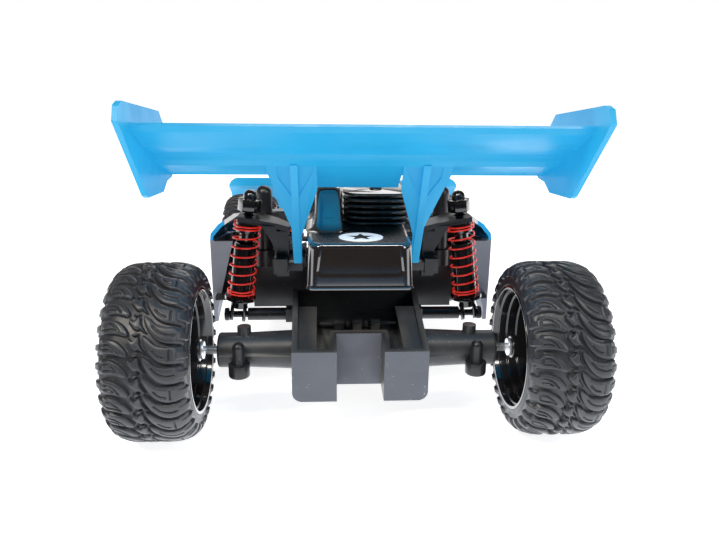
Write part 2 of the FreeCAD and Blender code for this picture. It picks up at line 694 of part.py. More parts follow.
def side_pods():
    """Bulkhead across the back of the deck and the two side guards, one moulding."""
    wall = block((-DECK_HALF_WIDTH, DECK_HALF_WIDTH), (rear(55.0), rear(60.0)), (DECK_Z, 79.4))
    seat = both_sides(rod(6.0, (49.0, rear(58.0), 70.0), (49.0, rear(58.0), 79.4)))
    outer = POD_HALF_WIDTH
    ledge = block((40.0, outer - 2.4), (rear(59.0), rear(144.0)), (48.5, 50.5))
    web = side_profile([(rear(59.0), 49.0), (rear(144.0), 49.0), (rear(144.0), 73.0), (rear(66.0), 79.4),
                        (rear(59.0), 79.4)], (54.0, 56.0))
    guard_outline = [(rear(66.0), 33.0), (rear(90.0), 40.0), (rear(144.0), 49.0), (rear(144.0), POD_FRONT_Z),
                     (rear(66.0), POD_REAR_Z)]
    guard = side_profile(guard_outline, (outer - 2.4, outer))
    top = POD_REAR_Z - 0.4
    lip = front_profile([(outer, top), (outer, 33.0), (outer - 4.0, 46.0), (outer - 13.0, top)],
                        (rear(66.0), rear(68.0)))
    close = block((54.0, outer - 1.0), (rear(142.0), rear(144.0)), (48.5, POD_FRONT_Z))
    side = joined(ledge, web, guard, lip, close)
    shape = joined(wall, seat, side, mirror_x(side))
    return shape.cut(deck_screw_holes())


def case_screws():
    """Screws that hold the side pods to the deck."""
    screws = []
    for x, y in deck_screw_places():
        head = cone(3.0, 2.2, (x, y, 50.5), (x, y, 52.2))
        shank = rod(1.5, (x, y, 42.5), (x, y, 50.5))
        slot = block((x - 1.8, x + 1.8), (y - 0.35, y + 0.35), (51.4, 53.0))
        screws.append(head.fuse(shank).cut(slot))
    return group(*screws)


def rear_tower_arm():
    """Arm from the tower leg out to the top of the shock, with the shock's hole."""
    outline = [(33.5, rear(24.0)), (40.5, rear(24.0)), (59.9, rear(27.6)), (59.9, rear(44.5)),
               (50.0, rear(46.5)), (33.5, rear(34.0))]
    plate = plan_profile(outline, (90.0, 112.0))
    slope = [(33.5, 96.2), (40.8, 97.9), (59.9, 100.6), (59.9, 103.3), (40.0, 100.6), (33.5, 98.8)]
    sloped = front_profile(slope, (rear(20.0), rear(50.0)))
    hole = lean_between(rod(3.1, (0, 0, 40), (0, 0, 70)), REAR_SHOCK_FOOT, REAR_SHOCK_TOP)
    return plate.common(sloped).cut(hole)


def rear_shock_tower():
    """Two legs on side beams from the bulkhead, their braces, arms and wing clips."""
    leg = block((34.0, 40.5), (rear(24.0), rear(29.0)), (73.0, 96.6))
    beam = block((35.0, 40.5), (rear(24.0), rear(55.0)), (73.0, 78.0))
    brace = side_profile([(rear(28.0), 96.0), (rear(28.0), 90.0), (rear(50.0), 77.0), (rear(55.0), 77.0),
                          (rear(55.0), 81.0)], (36.5, 39.0))
    gusset = front_profile([(40.0, 99.0), (47.5, 99.4), (40.4, 87.0), (40.0, 87.0)], (rear(24.0), rear(28.0)))
    side = joined(leg, beam, brace, gusset, rear_tower_arm(), wing_clip())
    return joined(both_sides(side), tower_tie())


def tower_tie():
    """Cross bar that ties the two legs under the engine cover."""
    return block((-35.5, 35.5), (rear(46.0), rear(55.0)), (73.0, 77.5))


def wing_clip():
    """Clip block and cross bar that hold a wing strut's foot."""
    clip_block = block((34.5, 41.4), (rear(16.5), rear(24.0)), (76.4, 84.0))
    bar = block((27.0, 36.0), (rear(18.0), rear(23.0)), (77.6, 82.0))
    return clip_block.fuse(bar).cut(strut_tenon())


def front_tower_arm_solid():
    outline = [(18.0, front(5.0)), (38.5, front(6.5)), (40.5, front(9.0)), (40.5, front(15.0)),
               (38.5, front(17.5)), (18.0, front(14.0))]
    plate = plan_profile(outline, (94.6, 97.4))
    hole = lean_between(rod(2.2, (0, 0, 40), (0, 0, 70)), FRONT_SHOCK_FOOT, FRONT_SHOCK_TOP)
    return plate.cut(hole)


def front_shock_tower():
    """Portal over the nose: two legs, a tie and the arms for the front shocks."""
    leg = block((NOSE_HALF_WIDTH, 24.5), (front(5.0), front(11.0)), (40.6, 96.0))
    tie = block((-24.0, 24.0), (front(5.0), front(11.0)), (88.0, 96.0))
    return joined(both_sides(leg), tie, both_sides(front_tower_arm_solid()))


def front_bumper():
    """Curved bumper plate on two stems, with a rounded nose."""
    outline = [(-36.0, rear(247.0)), (-31.0, rear(256.0)), (-18.0, rear(FRONT_BUMPER_REACH)),
               (18.0, rear(FRONT_BUMPER_REACH)), (31.0, rear(256.0)), (36.0, rear(247.0))]
    bar = plan_profile(outline + [(20.0, rear(249.0)), (-20.0, rear(249.0))], (20.0, 36.0))
    stem = block((-14.0, 14.0), (rear(242.0), rear(250.0)), (21.0, 31.0))
    skid = side_profile([(rear(242.0), 18.0), (rear(252.0), 20.5), (rear(252.0), 23.0), (rear(242.0), 21.5)],
                        (-12.0, 12.0))
    shape = joined(bar, stem, skid)
    return rounded(shape, 2.5, lambda e: e.BoundBox.YMin > rear(255.5) and not runs_along(e, 2)
                   and e.BoundBox.XLength > 20)


def battery_pack():
    """Four cells side by side in a shrink sleeve."""
    cells = [rod(7.0, (-29.0, rear(y), 28.2), (29.0, rear(y), 28.2)) for y in (106.5, 120.7)]
    sleeve = block((-29.0, 29.0), (rear(106.5), rear(120.7)), (21.2, 35.2))
    return joined(sleeve, *cells)


def battery_door():
    """Hatch in the floor, with its finger recess."""
    plate = block((-30.7, 30.7), (rear(99.3), rear(132.7)), (FLOOR_Z, FLOOR_Z + 2.4))
    recess = rod(6.0, (0, rear(104.0), FLOOR_Z - 5.0), (0, rear(104.0), FLOOR_Z + 0.9))
    rib_z = (FLOOR_Z + 2.3, FLOOR_Z + 3.1)
    ribs = [block((-22.0, 22.0), (rear(y), rear(y + 1.2)), rib_z) for y in (102.0, 126.0)]
    return joined(plate.cut(recess), *ribs)


def receiver_board():
    """Circuit board on two pegs above the battery, with its chips and a crystal."""
    board = block((-26.0, 26.0), (rear(102.0), rear(130.0)), (40.0, 41.6))
    chip = block((-8.0, 4.0), (rear(110.0), rear(122.0)), (41.6, 43.4))
    driver = block((10.0, 18.0), (rear(106.0), rear(112.0)), (41.6, 43.0))
    crystal = block((-20.0, -14.0), (rear(108.0), rear(118.0)), (41.6, 45.0))
    pegs = [rod(2.5, (x, rear(116.0), 35.2), (x, rear(116.0), 40.0)) for x in (-20.0, 20.0)]
    return joined(board, chip, driver, crystal, *pegs)


def steering_servo():
    """Servo box on the nose floor, with its output boss."""
    box = block((-6.2, 6.2), (front(-54.0), front(-25.0)), (FLOOR_Z + 2.4, 42.0))
    ears = block((-6.2, 6.2), (front(-58.0), front(-21.0)), (36.0, 38.4))
    boss = rod(5.2, (0, front(-30.0), 42.0), (0, front(-30.0), 45.0))
    spindle = rod(2.0, (0, front(-30.0), 45.0), (0, front(-30.0), 48.2))
    return joined(box, ears, boss, spindle)


def servo_horn():
    """Arm on the servo's spindle, with the pin that pushes the steering link."""
    hub = rod(4.5, (0, front(-30.0), 45.2), (0, front(-30.0), 49.4))
    arm = block((-2.4, 2.4), (front(-30.0), front(-15.0)), (46.6, 49.4))
    eye = rod(3.2, (0, front(-15.0), 46.6), (0, front(-15.0), 49.4))
    pin = rod(1.5, (0, front(-15.0), 49.0), (0, front(-15.0), 57.4))
    bore = rod(2.0 + RUNNING_CLEARANCE, (0, front(-30.0), 40.0), (0, front(-30.0), 52.0))
    return joined(hub, arm, eye, pin).cut(bore)


def slot_along_y(x, half_width, half_length, z):
    """Slot with round ends, centred on the steering link's line."""
    ends = (front(-15.0 - half_length), front(-15.0 + half_length))
    middle = block((x - half_width, x + half_width), ends, z)
    return middle.fuse([rod(half_width, (x, y, z[0]), (x, y, z[1])) for y in ends])


def steering_link():
    """Bar that joins the servo horn to both knuckles; the slots let the pins swing."""
    z = (53.0, 55.8)
    bar = block((-54.0, 54.0), (front(-18.0), front(-12.0)), z)
    eyes = [rod(5.4, (x, front(-15.0), z[0]), (x, front(-15.0), z[1])) for x in (-KINGPIN_X, 0.0, KINGPIN_X)]
    shape = joined(bar, *eyes)
    shape = shape.cut(slot_along_y(0.0, 1.7, 1.3, (50, 58)))
    return shape.cut([slot_along_y(side * KINGPIN_X, 3.2, 1.0, (50, 58)) for side in (-1, 1)])


def power_switch():
    """Slider in the side of the tub, with its knob outside and a plate inside."""
    knob = block((TUB_HALF_WIDTH - 2.2, TUB_HALF_WIDTH + 2.2), (rear(136.3), rear(141.3)), (26.3, 30.7))
    plate = block((TUB_HALF_WIDTH - 3.6, TUB_HALF_WIDTH - 2.2), (rear(134.0), rear(146.0)), (24.5, 32.5))
    ribs = [block((TUB_HALF_WIDTH + 1.6, TUB_HALF_WIDTH + 3), (rear(y), rear(y + 0.6)), (26, 31))
            for y in (137.3, 138.5, 139.7)]
    return joined(knob.cut(ribs), plate)


# ---- front suspension ----

def front_arm():
    """Right front arm: two pivot eyes, a plate, the shock's lug and the fork for the knuckle."""
    pivot_x = ARM_PIVOT_X + 2
    barrel = rod(3.4, (pivot_x, front(-13.2), ARM_PIVOT_Z), (pivot_x, front(13.2), ARM_PIVOT_Z))
    plate = plan_profile([(pivot_x, front(-13.2)), (pivot_x, front(13.2)), (31.0, front(13.2)),
                          (36.0, front(15.8)), (45.5, front(15.8)), (47.0, front(6.0)),
                          (50.5, front(6.0)), (50.5, front(-6.0)), (47.0, front(-6.0)), (40.0, front(-11.0))],
                         (33.4, 37.6))
    window_outline = [(29.5, front(-8.0)), (29.5, front(4.0)), (38.0, front(4.0)), (38.0, front(-6.5))]
    window = plan_profile(window_outline, (30, 40))
    low_lug = block((46.0, KINGPIN_X), (front(-6.0), front(6.0)), (31.4, 35.4))
    low_round = rod(6.0, (KINGPIN_X, FRONT_AXLE_Y, 31.4), (KINGPIN_X, FRONT_AXLE_Y, 35.4))
    back = block((47.4, 50.6), (front(-6.0), front(6.0)), (31.4, 55.0))
    top_lug = block((47.4, KINGPIN_X), (front(-5.0), front(5.0)), (50.8, 55.0))
    top_round = rod(5.0, (KINGPIN_X, FRONT_AXLE_Y, 50.8), (KINGPIN_X, FRONT_AXLE_Y, 55.0))
    shape = joined(barrel, plate.cut(window), low_lug, low_round, back, top_lug, top_round, front_shock_lug())
    kingpin_hole = rod(2.0 + RUNNING_CLEARANCE, (KINGPIN_X, FRONT_AXLE_Y, 25), (KINGPIN_X, FRONT_AXLE_Y, 60))
    pivot_hole = rod(1.5 + RUNNING_CLEARANCE, (pivot_x, front(-20), ARM_PIVOT_Z),
                     (pivot_x, front(20), ARM_PIVOT_Z))
    return shape.cut(kingpin_hole).cut(pivot_hole)


def front_shock_lug():
    """Upright lug and cross pin for the front shock's forked foot."""
    x, y, z = FRONT_SHOCK_FOOT
    lug = block((x - 3.5, x + 3.5), (y - 1.6, y + 1.6), (36.0, z))
    eye = rod(3.5, (x, y - 1.6, z), (x, y + 1.6, z))
    pin = rod(JOURNAL_RADIUS, (x, y - 5.6, z), (x, y + 5.6, z))
    return joined(lug, eye, pin)


def steering_knuckle():
    """Right knuckle with kingpin trunnions, axle boss and steering arm with its pin."""
    upright = rod(5.4, (KINGPIN_X, FRONT_AXLE_Y, 35.6), (KINGPIN_X, FRONT_AXLE_Y, 50.6))
    trunnions = rod(2.0, (KINGPIN_X, FRONT_AXLE_Y, 31.0), (KINGPIN_X, FRONT_AXLE_Y, 55.6))
    boss = rod(5.0, (KINGPIN_X, FRONT_AXLE_Y, AXLE_Z), (67.6, FRONT_AXLE_Y, AXLE_Z))
    arm = block((KINGPIN_X - 3.0, KINGPIN_X + 3.0), (front(-STEER_ARM), FRONT_AXLE_Y), (46.4, 50.0))
    eye = rod(3.2, (KINGPIN_X, front(-STEER_ARM), 46.4), (KINGPIN_X, front(-STEER_ARM), 50.0))
    pin = rod(1.5, (KINGPIN_X, front(-STEER_ARM), 49.0), (KINGPIN_X, front(-STEER_ARM), 58.8))
    bore = rod(AXLE_SHAFT_RADIUS, (60.0, FRONT_AXLE_Y, AXLE_Z), (70.0, FRONT_AXLE_Y, AXLE_Z))
    return joined(upright, trunnions, boss, arm, eye, pin).cut(bore)


def front_stub_axle():
    """Steel stub pressed into the knuckle, with the nut that keeps the wheel on."""
    end = FRONT_TRACK_INSIDE + 35.0
    stub = rod(AXLE_SHAFT_RADIUS, (60.0, FRONT_AXLE_Y, AXLE_Z), (end, FRONT_AXLE_Y, AXLE_Z))
    return joined(stub, axle_nut(FRONT_TRACK_INSIDE, FRONT_AXLE_Y, AXLE_SHAFT_RADIUS))


def front_rim():
    return rim(FRONT_TRACK_INSIDE, FRONT_AXLE_Y, 15.6, AXLE_SHAFT_RADIUS + RUNNING_CLEARANCE)


# ---- bodywork ----

def pod_section(y, low, shoulder_rise, inset):
    """Cross-section of the pods' skin: upright edge, rounded shoulder, nearly flat top."""
    side = POD_HALF_WIDTH - inset
    right = [(side, low), (side - 0.5, low + 4.0 - inset), (side - 5.0, low + shoulder_rise * 0.6 - inset),
             (side - 14.0, low + shoulder_rise - inset), (42.0, low + shoulder_rise + 3.0 - inset)]
    points = right + [(-x, z) for x, z in reversed(right)]
    return Part.makePolygon([V(x, y, z) for x, z in points + [points[0]]])


def pod_shell(inset):
    """Upper skin of the two side pods; it slopes down towards the front wheels."""
    shape = Part.makeLoft([pod_section(rear(66.0), POD_REAR_Z, 15.5, inset),
                           pod_section(rear(150.0), POD_FRONT_Z, 11.0, inset)], True, True)
    side = POD_HALF_WIDTH
    cab_side = 34.0 - inset
    right = [(side, rear(64.0)), (side, rear(126.0)), (68.0, rear(146.0) - inset),
             (cab_side, rear(150.0) - inset)]
    plan = plan_profile(right + [(-x, y) for x, y in reversed(right)], (60, 110))
    return shape.common(plan)


def cab_section(y, half_width, top, bottom, inset):
    """Rounded-top section of the cab and nose at one station."""
    w = half_width - inset
    t = top - inset
    shoulder = (t - bottom) * 0.35
    points = [V(-w, y, bottom), V(-w * 0.93, y, t - shoulder), V(-w * 0.62, y, t), V(w * 0.62, y, t),
              V(w * 0.93, y, t - shoulder), V(w, y, bottom)]
    return Part.makePolygon(points + [points[0]])


def cab_shell(inset):
    """Cab roof and the nose that runs down to the bumper."""
    stations = [(66.0, 31.0, 112.0, 82.0), (88.0, 33.0, 126.0, 82.0), (116.0, 33.0, 127.0, 82.0),
                (140.0, 31.0, 110.0, 78.0), (164.0, 22.0, 92.0, 66.0), (196.0, 18.0, 82.0, 57.0),
                (246.0, 16.0, 58.0, 50.0)]
    sections = []
    for index, (along, half_width, top, bottom) in enumerate(stations):
        y = rear(along)
        if index == len(stations) - 1:
            y -= inset
        sections.append(cab_section(y, half_width, top, bottom, inset))
    return Part.makeLoft(sections, True, True)


def window_cut():
    """Openings for the windscreen and side windows."""
    screen = [(rear(118.0), 122.0), (rear(146.0), 103.5), (rear(150.0), 112.0), (rear(122.0), 132.0)]
    side = [(rear(84.0), 104.0), (rear(86.0), 117.0), (rear(114.0), 117.5), (rear(130.0), 104.0)]
    return side_profile(screen, (-21.0, 21.0)), side_profile(side, (-50.0, 50.0))


def body_shell():
    """White outer body: side pods, cab and nose, one thin moulding open underneath."""
    outer = pod_shell(0.0).fuse(cab_shell(0.0))
    inner = pod_shell(1.6).fuse(cab_shell(1.6))
    screen, side = window_cut()
    rear_open = block((-29.0, 29.0), (rear(60.0), rear(70.0)), (80.0, 109.0))
    shape = outer.cut(inner).cut(screen).cut(side).cut(rear_open)
    return max(shape.Solids, key=lambda solid: solid.Volume)


def canopy_window():
    """Dark glazing that fits inside the cab openings."""
    screen, side = window_cut()
    skin = cab_shell(1.6).cut(cab_shell(2.6))
    reach = screen.fuse(side)
    grown = block((-31.5, 31.5), (rear(80.0), rear(150.0)), (100.0, 130.0))
    lens = skin.common(grown)
    plug = cab_shell(0.0).cut(cab_shell(1.6)).common(reach)
    return joined(lens, plug)


def front_fenders():
    """Blue mudguards: curved sheets over the front of the wheels, joined by a strap at the shock tower."""
    back = [(25.0, 95.0), (27.0, 88.4), (39.0, 81.4), (48.5, 71.0), (53.5, 61.5), (55.0, 57.0)]
    ahead = [(y + 2.4, z + 0.2) for y, z in reversed(back)]
    sheet = side_profile([(front(y), z) for y, z in back + ahead], (47.0, FENDER_HALF_WIDTH))
    mask = block((47.0, FENDER_HALF_WIDTH), (front(20.0), front(62.0)), (54.0, 95.2))
    mask = rounded(mask, 8.0, lambda e: runs_along(e, 1))
    strap = block((-49.0, 49.0), (front(20.0), front(27.2)), (91.6, 93.6))
    tongue = block((-12.0, 12.0), (front(11.0), front(21.0)), (91.6, 93.6))
    return joined(both_sides(sheet.common(mask)), strap, tongue)


# ---- engine cover and head ----

def engine_outer(inset):
    """Gloss engine cover: a box with sloped shoulders."""
    w = 26.6 - inset
    top = 100.4 - inset
    section = [(-w, 79.4), (-w, 97.0 - inset), (-w + 4.6, top), (w - 4.6, top), (w, 97.0 - inset), (w, 79.4)]
    box = front_profile(section, (rear(-20.0 + inset), rear(60.0)))
    back = 24.5 - inset
    right = [(back, rear(-21)), (w, rear(20.0)), (w, rear(61))]
    return box.common(plan_profile(right + [(-x, y) for x, y in reversed(right)], (70, 110)))


def air_box(inset):
    """Tall intake beside the cylinder head; its back leans forward."""
    shape = block((-20.5 + inset, -7.5 - inset), (rear(8.0 + inset), rear(38.0 - inset)),
                  (96.0, 120.0 - inset))
    shape = rounded(shape, 3.5 - inset, lambda e: e.BoundBox.ZMin > 96.5 or runs_along(e, 2))
    foot, head = 7.5 + 1.13 * inset, 18.5 + 1.13 * inset
    behind = side_profile([(rear(foot), 100.0), (rear(head), 121.0), (rear(0.0), 121.0), (rear(0.0), 100.0)],
                          (-30.0, 0.0))
    return shape.cut(behind)


def cut_corner_panel(half_width, z, corner, y):
    """Upright panel with its two top corners cut off."""
    right = [(half_width, z[0]), (half_width, z[1] - corner * 0.8), (half_width - corner, z[1])]
    return front_profile(right + [(-x, height) for x, height in reversed(right)], y)


def engine_cover():
    """Thin gloss moulding over the engine bay, open underneath."""
    outer = engine_outer(0.0)
    outer = rounded(outer, 1.6, lambda e: e.BoundBox.YMax < rear(-19.9) and not e.BoundBox.ZMax < 80.0)
    hollow = engine_outer(1.8).fuse(block((-22.7, 22.7), (rear(-18.2), rear(60.5)), (79.0, 82.0)))
    frame = cut_corner_panel(21.0, (82.4, 98.4), 3.0, (rear(-20.6), rear(-19.4)))
    pane = cut_corner_panel(18.6, (86.0, 96.6), 2.0, (rear(-21.0), rear(-19.9)))
    shape = joined(outer, air_box(0.0), frame).cut(hollow).cut(air_box(1.6)).cut(pane)
    return shape


def engine_head():
    """Finned cylinder head standing on the cover."""
    x, y, z = (10.5, rear(36.0), 100.4)
    core = rod(11.5, (x, y, z), (x, y, z + 16.0))
    shape = joined(core, rod(3.4, (x, y, z + 15), (x, y, z + 18.4)))
    for index in range(6):
        low = z + 0.4 + index * 2.9
        fin = block((x - 17.2, x + 17.2), (y - 17.2, y + 17.2), (low, low + 1.3))
        fin = rounded(fin, 11.0, lambda e: runs_along(e, 2))
        shape = shape.fuse(fin)
    return shape.removeSplitter()


# ---- rear wing ----

def wing_blade():
    """Stepped aerofoil between the end plates; its trailing edge is the higher one."""
    under = [(-48.6, 152.6), (-46.2, 150.2), (-31.0, 142.9), (-30.2, 144.0), (-17.4, 139.3), (-16.0, 136.9),
             (-14.6, 136.0), (-11.2, 133.6), (-10.6, 134.3), (4.6, 128.9), (6.0, 127.4), (15.5, 126.6)]
    over = [(15.9, 128.6), (6.6, 131.4), (-14.0, 141.4), (-30.0, 147.2), (-45.4, 153.4)]
    outline = [(rear(y), z) for y, z in under + over]
    return side_profile(outline, (-WING_HALF_SPAN, WING_HALF_SPAN))


def wing_centre():
    """Deeper centre section between the struts."""
    outline = [(-15.5, 137.4), (14.5, 120.4), (16.4, 122.2), (16.0, 128.0), (-10.0, 138.0)]
    return side_profile([(rear(y), z) for y, z in outline], (-19.5, 19.5))


def wing_end_plate():
    """Right end plate: tall rounded rear corner, stepped lower front corner."""
    outline = [(-58.4, 160.2), (-54.0, 161.4), (-3.0, 156.0), (3.0, 150.3), (17.0, 128.6), (15.5, 126.6),
               (13.0, 125.4), (4.0, 124.8), (-4.0, 121.0), (-29.0, 122.5), (-32.0, 124.0), (-61.2, 154.8)]
    plate = side_profile([(rear(y), z) for y, z in outline], (WING_HALF_SPAN - 0.6, WING_HALF_SPAN + 1.6))
    return rounded(plate, 1.6, lambda e: runs_along(e, 0) and e.BoundBox.ZMin > 159.0)


def strut_line(z):
    """Y of the struts' raked rear face at a height."""
    return rear(18.0 - (z - 80.5) * 0.51)


def strut_band(depth, start=0.0):
    """Raked slab behind the struts' rear face, from start to depth mm thick."""
    return side_profile([(strut_line(82.0) + start, 82.0), (strut_line(137.0) + start, 137.0),
                         (strut_line(137.0) + depth, 137.0), (strut_line(82.0) + depth, 82.0)], (0, 60))


def strut_tenon():
    """Peg under the strut's foot that sits in the clip bar."""
    return block((STRUT_X - 1.2, STRUT_X + 1.2), (rear(19.2), rear(21.4)), (79.0, 82.0))


def strut_pockets():
    """Shallow triangular pockets beside the top of the spine."""
    pockets = []
    for edge, far, height in ((1.6, 7.6, 128.0), (-1.6, -8.6, 131.0)):
        outline = [(edge, 118.2), (far, height), (far, 140.0), (edge, 140.0)]
        pocket = front_profile([(STRUT_X + x, z) for x, z in outline], (rear(-60), rear(60)))
        pockets.append(pocket.common(strut_band(0.9, -1.0)))
    return pockets


def wing_strut():
    """Right strut: raked flat gusset plate with a spine down the middle."""
    outline = [(-2.0, 82.0), (-2.4, 98.0), (-10.0, 121.5), (-10.0, 136.0), (12.4, 134.0), (11.6, 129.0),
               (2.4, 102.0), (2.0, 82.0)]
    plate = front_profile([(STRUT_X + x, z) for x, z in outline], (rear(-60), rear(60)))
    plate = plate.common(strut_band(2.6))
    spine = side_profile([(strut_line(82.0) - 0.6, 82.0), (strut_line(134.0) - 3.4, 134.0),
                          (strut_line(136.0) + 4.0, 136.0), (strut_line(82.0) + 2.8, 82.0)],
                         (STRUT_X - 1.6, STRUT_X + 1.6))
    foot = block((STRUT_X - 2.0, STRUT_X + 2.0), (rear(17.4), rear(22.4)), (82.0, 84.4))
    return joined(plate.cut(strut_pockets()), spine, foot, strut_tenon())


def rear_wing():
    """One moulding: blade, end plates and both struts."""
    above = [(-45.4, 153.4), (-30.0, 147.2), (-14.0, 141.4), (6.6, 131.4), (30.0, 126.0), (30.0, 170.0),
             (-45.4, 170.0)]
    space_above = side_profile([(rear(y), z) for y, z in above], (-60, 60))
    struts = both_sides(wing_strut()).cut(space_above)
    return joined(wing_blade(), wing_centre(), both_sides(wing_end_plate()), struts)


def body_posts():
    """Domed posts on the bulkhead that carry the body."""
    x, y = (49.0, rear(58.0))
    post = rod(4.3, (x, y, 79.4), (x, y, 110.4))
    dome = Part.makeSphere(4.3, V(x, y, 110.4))
    shape = joined(post, dome)
    return group(shape, mirror_x(shape))


def build():
    front_length = shock_length(FRONT_SHOCK_FOOT, FRONT_SHOCK_TOP)
    rear_rim = rim(REAR_TRACK_INSIDE, REAR_AXLE_Y, 1.6, AXLE_SHAFT_RADIUS)
    rear_tyre = tyre(REAR_TRACK_INSIDE, REAR_AXLE_Y)
    front_tyre = tyre(FRONT_TRACK_INSIDE, FRONT_AXLE_Y)
    front_spring = lean_between(coil_spring(front_length), FRONT_SHOCK_FOOT, FRONT_SHOCK_TOP)

    chassis = {
        "chassis_tub": chassis_tub, "side_pods": side_pods, "rear_shock_tower": rear_shock_tower,
        "front_shock_tower": front_shock_tower, "front_bumper": front_bumper, "body_shell": body_shell,
        "canopy_window": canopy_window, "front_fenders": front_fenders, "engine_cover": engine_cover,
        "engine_head": engine_head, "rear_wing": rear_wing, "body_posts": body_posts,
        "battery_pack": battery_pack, "battery_door": battery_door, "case_screws": case_screws,
        "receiver_board": receiver_board, "steering_servo": steering_servo,
        "suspension_pins": suspension_pins, "front_shock_rods": front_shock_rods,
        "power_switch": power_switch, "steering_link": steering_link, "servo_horn": servo_horn,
    }
    axle_unit = {
        "gearbox_lower": gearbox_lower, "gearbox_upper": gearbox_upper, "gearbox_screws": gearbox_screws,
        "drive_motor": drive_motor, "shock_mount_bars": shock_mount_bars,
        "axle_tube_bolts": axle_tube_bolts, "axle_bushes": axle_bushes,
        "rear_axle_shaft": rear_axle_shaft, "axle_gear": axle_gear, "rear_axle_washers": rear_axle_washers,
        "rear_wheel_nuts": rear_wheel_nuts, "idler_gear": idler_gear, "motor_pinion": motor_pinion,
        "rear_springs": rear_springs,
    }
    paired = {
        "rear_rim": rear_rim, "rear_tyre": rear_tyre, "rear_shock_rod": rear_shock_rod(),
        "rear_shock_body": rear_shock_body(), "front_rim": front_rim(), "front_tyre": front_tyre,
        "front_shock_body": front_shock_body(),
        "front_spring": front_spring, "front_arm": front_arm(), "steering_knuckle": steering_knuckle(),
        "front_stub_axle": front_stub_axle(),
    }
    for name, make in {**chassis, **axle_unit}.items():
        save(name, make())
    for name, shape in paired.items():
        save(name + "_right", shape)
        save(name + "_left", mirror_x(shape))


os.makedirs(PARTS_FOLDER, exist_ok=True)
build()
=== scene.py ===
import json
import math

import bmesh
import bpy
import numpy as np
from mathutils import Matrix, Vector


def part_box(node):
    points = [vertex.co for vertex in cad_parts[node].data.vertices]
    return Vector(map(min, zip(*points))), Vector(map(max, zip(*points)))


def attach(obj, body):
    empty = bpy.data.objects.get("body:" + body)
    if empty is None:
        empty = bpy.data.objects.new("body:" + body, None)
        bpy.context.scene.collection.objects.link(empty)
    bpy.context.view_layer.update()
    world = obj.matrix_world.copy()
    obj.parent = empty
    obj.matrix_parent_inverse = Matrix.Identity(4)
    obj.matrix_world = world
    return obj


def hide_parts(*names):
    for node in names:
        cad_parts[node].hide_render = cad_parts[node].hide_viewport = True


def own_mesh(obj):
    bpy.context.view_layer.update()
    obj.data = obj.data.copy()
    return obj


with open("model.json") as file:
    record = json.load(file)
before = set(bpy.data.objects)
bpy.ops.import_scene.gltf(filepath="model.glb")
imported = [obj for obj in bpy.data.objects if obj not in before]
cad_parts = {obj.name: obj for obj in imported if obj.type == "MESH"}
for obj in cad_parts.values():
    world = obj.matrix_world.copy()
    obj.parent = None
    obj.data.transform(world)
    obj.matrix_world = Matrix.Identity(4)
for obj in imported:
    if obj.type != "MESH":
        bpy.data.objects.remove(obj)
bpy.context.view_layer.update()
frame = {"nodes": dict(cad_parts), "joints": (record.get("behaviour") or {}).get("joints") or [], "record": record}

MM = 0.001
JOINTS = {joint["name"]: joint for joint in frame["joints"]}
REAR_AXLE = Vector(JOINTS["rear_wheel_spin"]["pos_m"])
SIDES = (("left", -1), ("right", 1))


# ---- node material helpers ----

def blank_material(name):
    """A material with an empty node tree."""
    material = bpy.data.materials.new(name)
    material.use_nodes = True
    material.node_tree.nodes.clear()
    return material


def add(material, kind, **values):
    """A new node; values that name a socket set the socket, the rest set properties."""
    node = material.node_tree.nodes.new(kind)
    for key, value in values.items():
        socket = key.replace("_", " ").title()
        if socket in node.inputs:
            node.inputs[socket].default_value = value
        else:
            setattr(node, key, value)
    return node


def link(material, source, target):
    material.node_tree.links.new(source, target)


def feed(material, values):
    """Connect each socket to its value, or set it where the value is a plain number or color."""
    for socket, value in values.items():
        if isinstance(value, bpy.types.NodeSocket):
            link(material, value, socket)
        else:
            socket.default_value = value


def position(material):
    return add(material, "ShaderNodeTexCoord").outputs["Object"]


def noise(material, scale, detail=3.0):
    node = add(material, "ShaderNodeTexNoise", scale=scale, detail=detail, roughness=0.55)
    link(material, position(material), node.inputs["Vector"])
    return node.outputs["Fac"]


def remap(material, value, low, high, out_low, out_high):
    node = add(material, "ShaderNodeMapRange")
    link(material, value, node.inputs["Value"])
    limits = {"From Min": low, "From Max": high, "To Min": out_low, "To Max": out_high}
    for name, number in limits.items():
        node.inputs[name].default_value = number
    return node.outputs["Result"]


def mix_color(material, factor, first, second):
    node = add(material, "ShaderNodeMix", data_type="RGBA")
    color_a, color_b = node.inputs[6], node.inputs[7]
    feed(material, {node.inputs["Factor"]: factor, color_a: first, color_b: second})
    return node.outputs[2]


def bump(material, height, distance, strength=1.0, normal=None):
    node = add(material, "ShaderNodeBump", strength=strength, distance=distance)
    link(material, height, node.inputs["Height"])
    if normal is not None:
        link(material, normal, node.inputs["Normal"])
    return node.outputs["Normal"]


def convex_edge_rub_and_highlight(material, amount):
    """High on convex edges, zero elsewhere: rubbed wear on most materials, a painted highlight on others."""
    geometry = add(material, "ShaderNodeNewGeometry")
    return remap(material, geometry.outputs["Pointiness"], 0.53, 0.62, 0.0, amount)


def rgba(color):
    return (*color, 1.0)


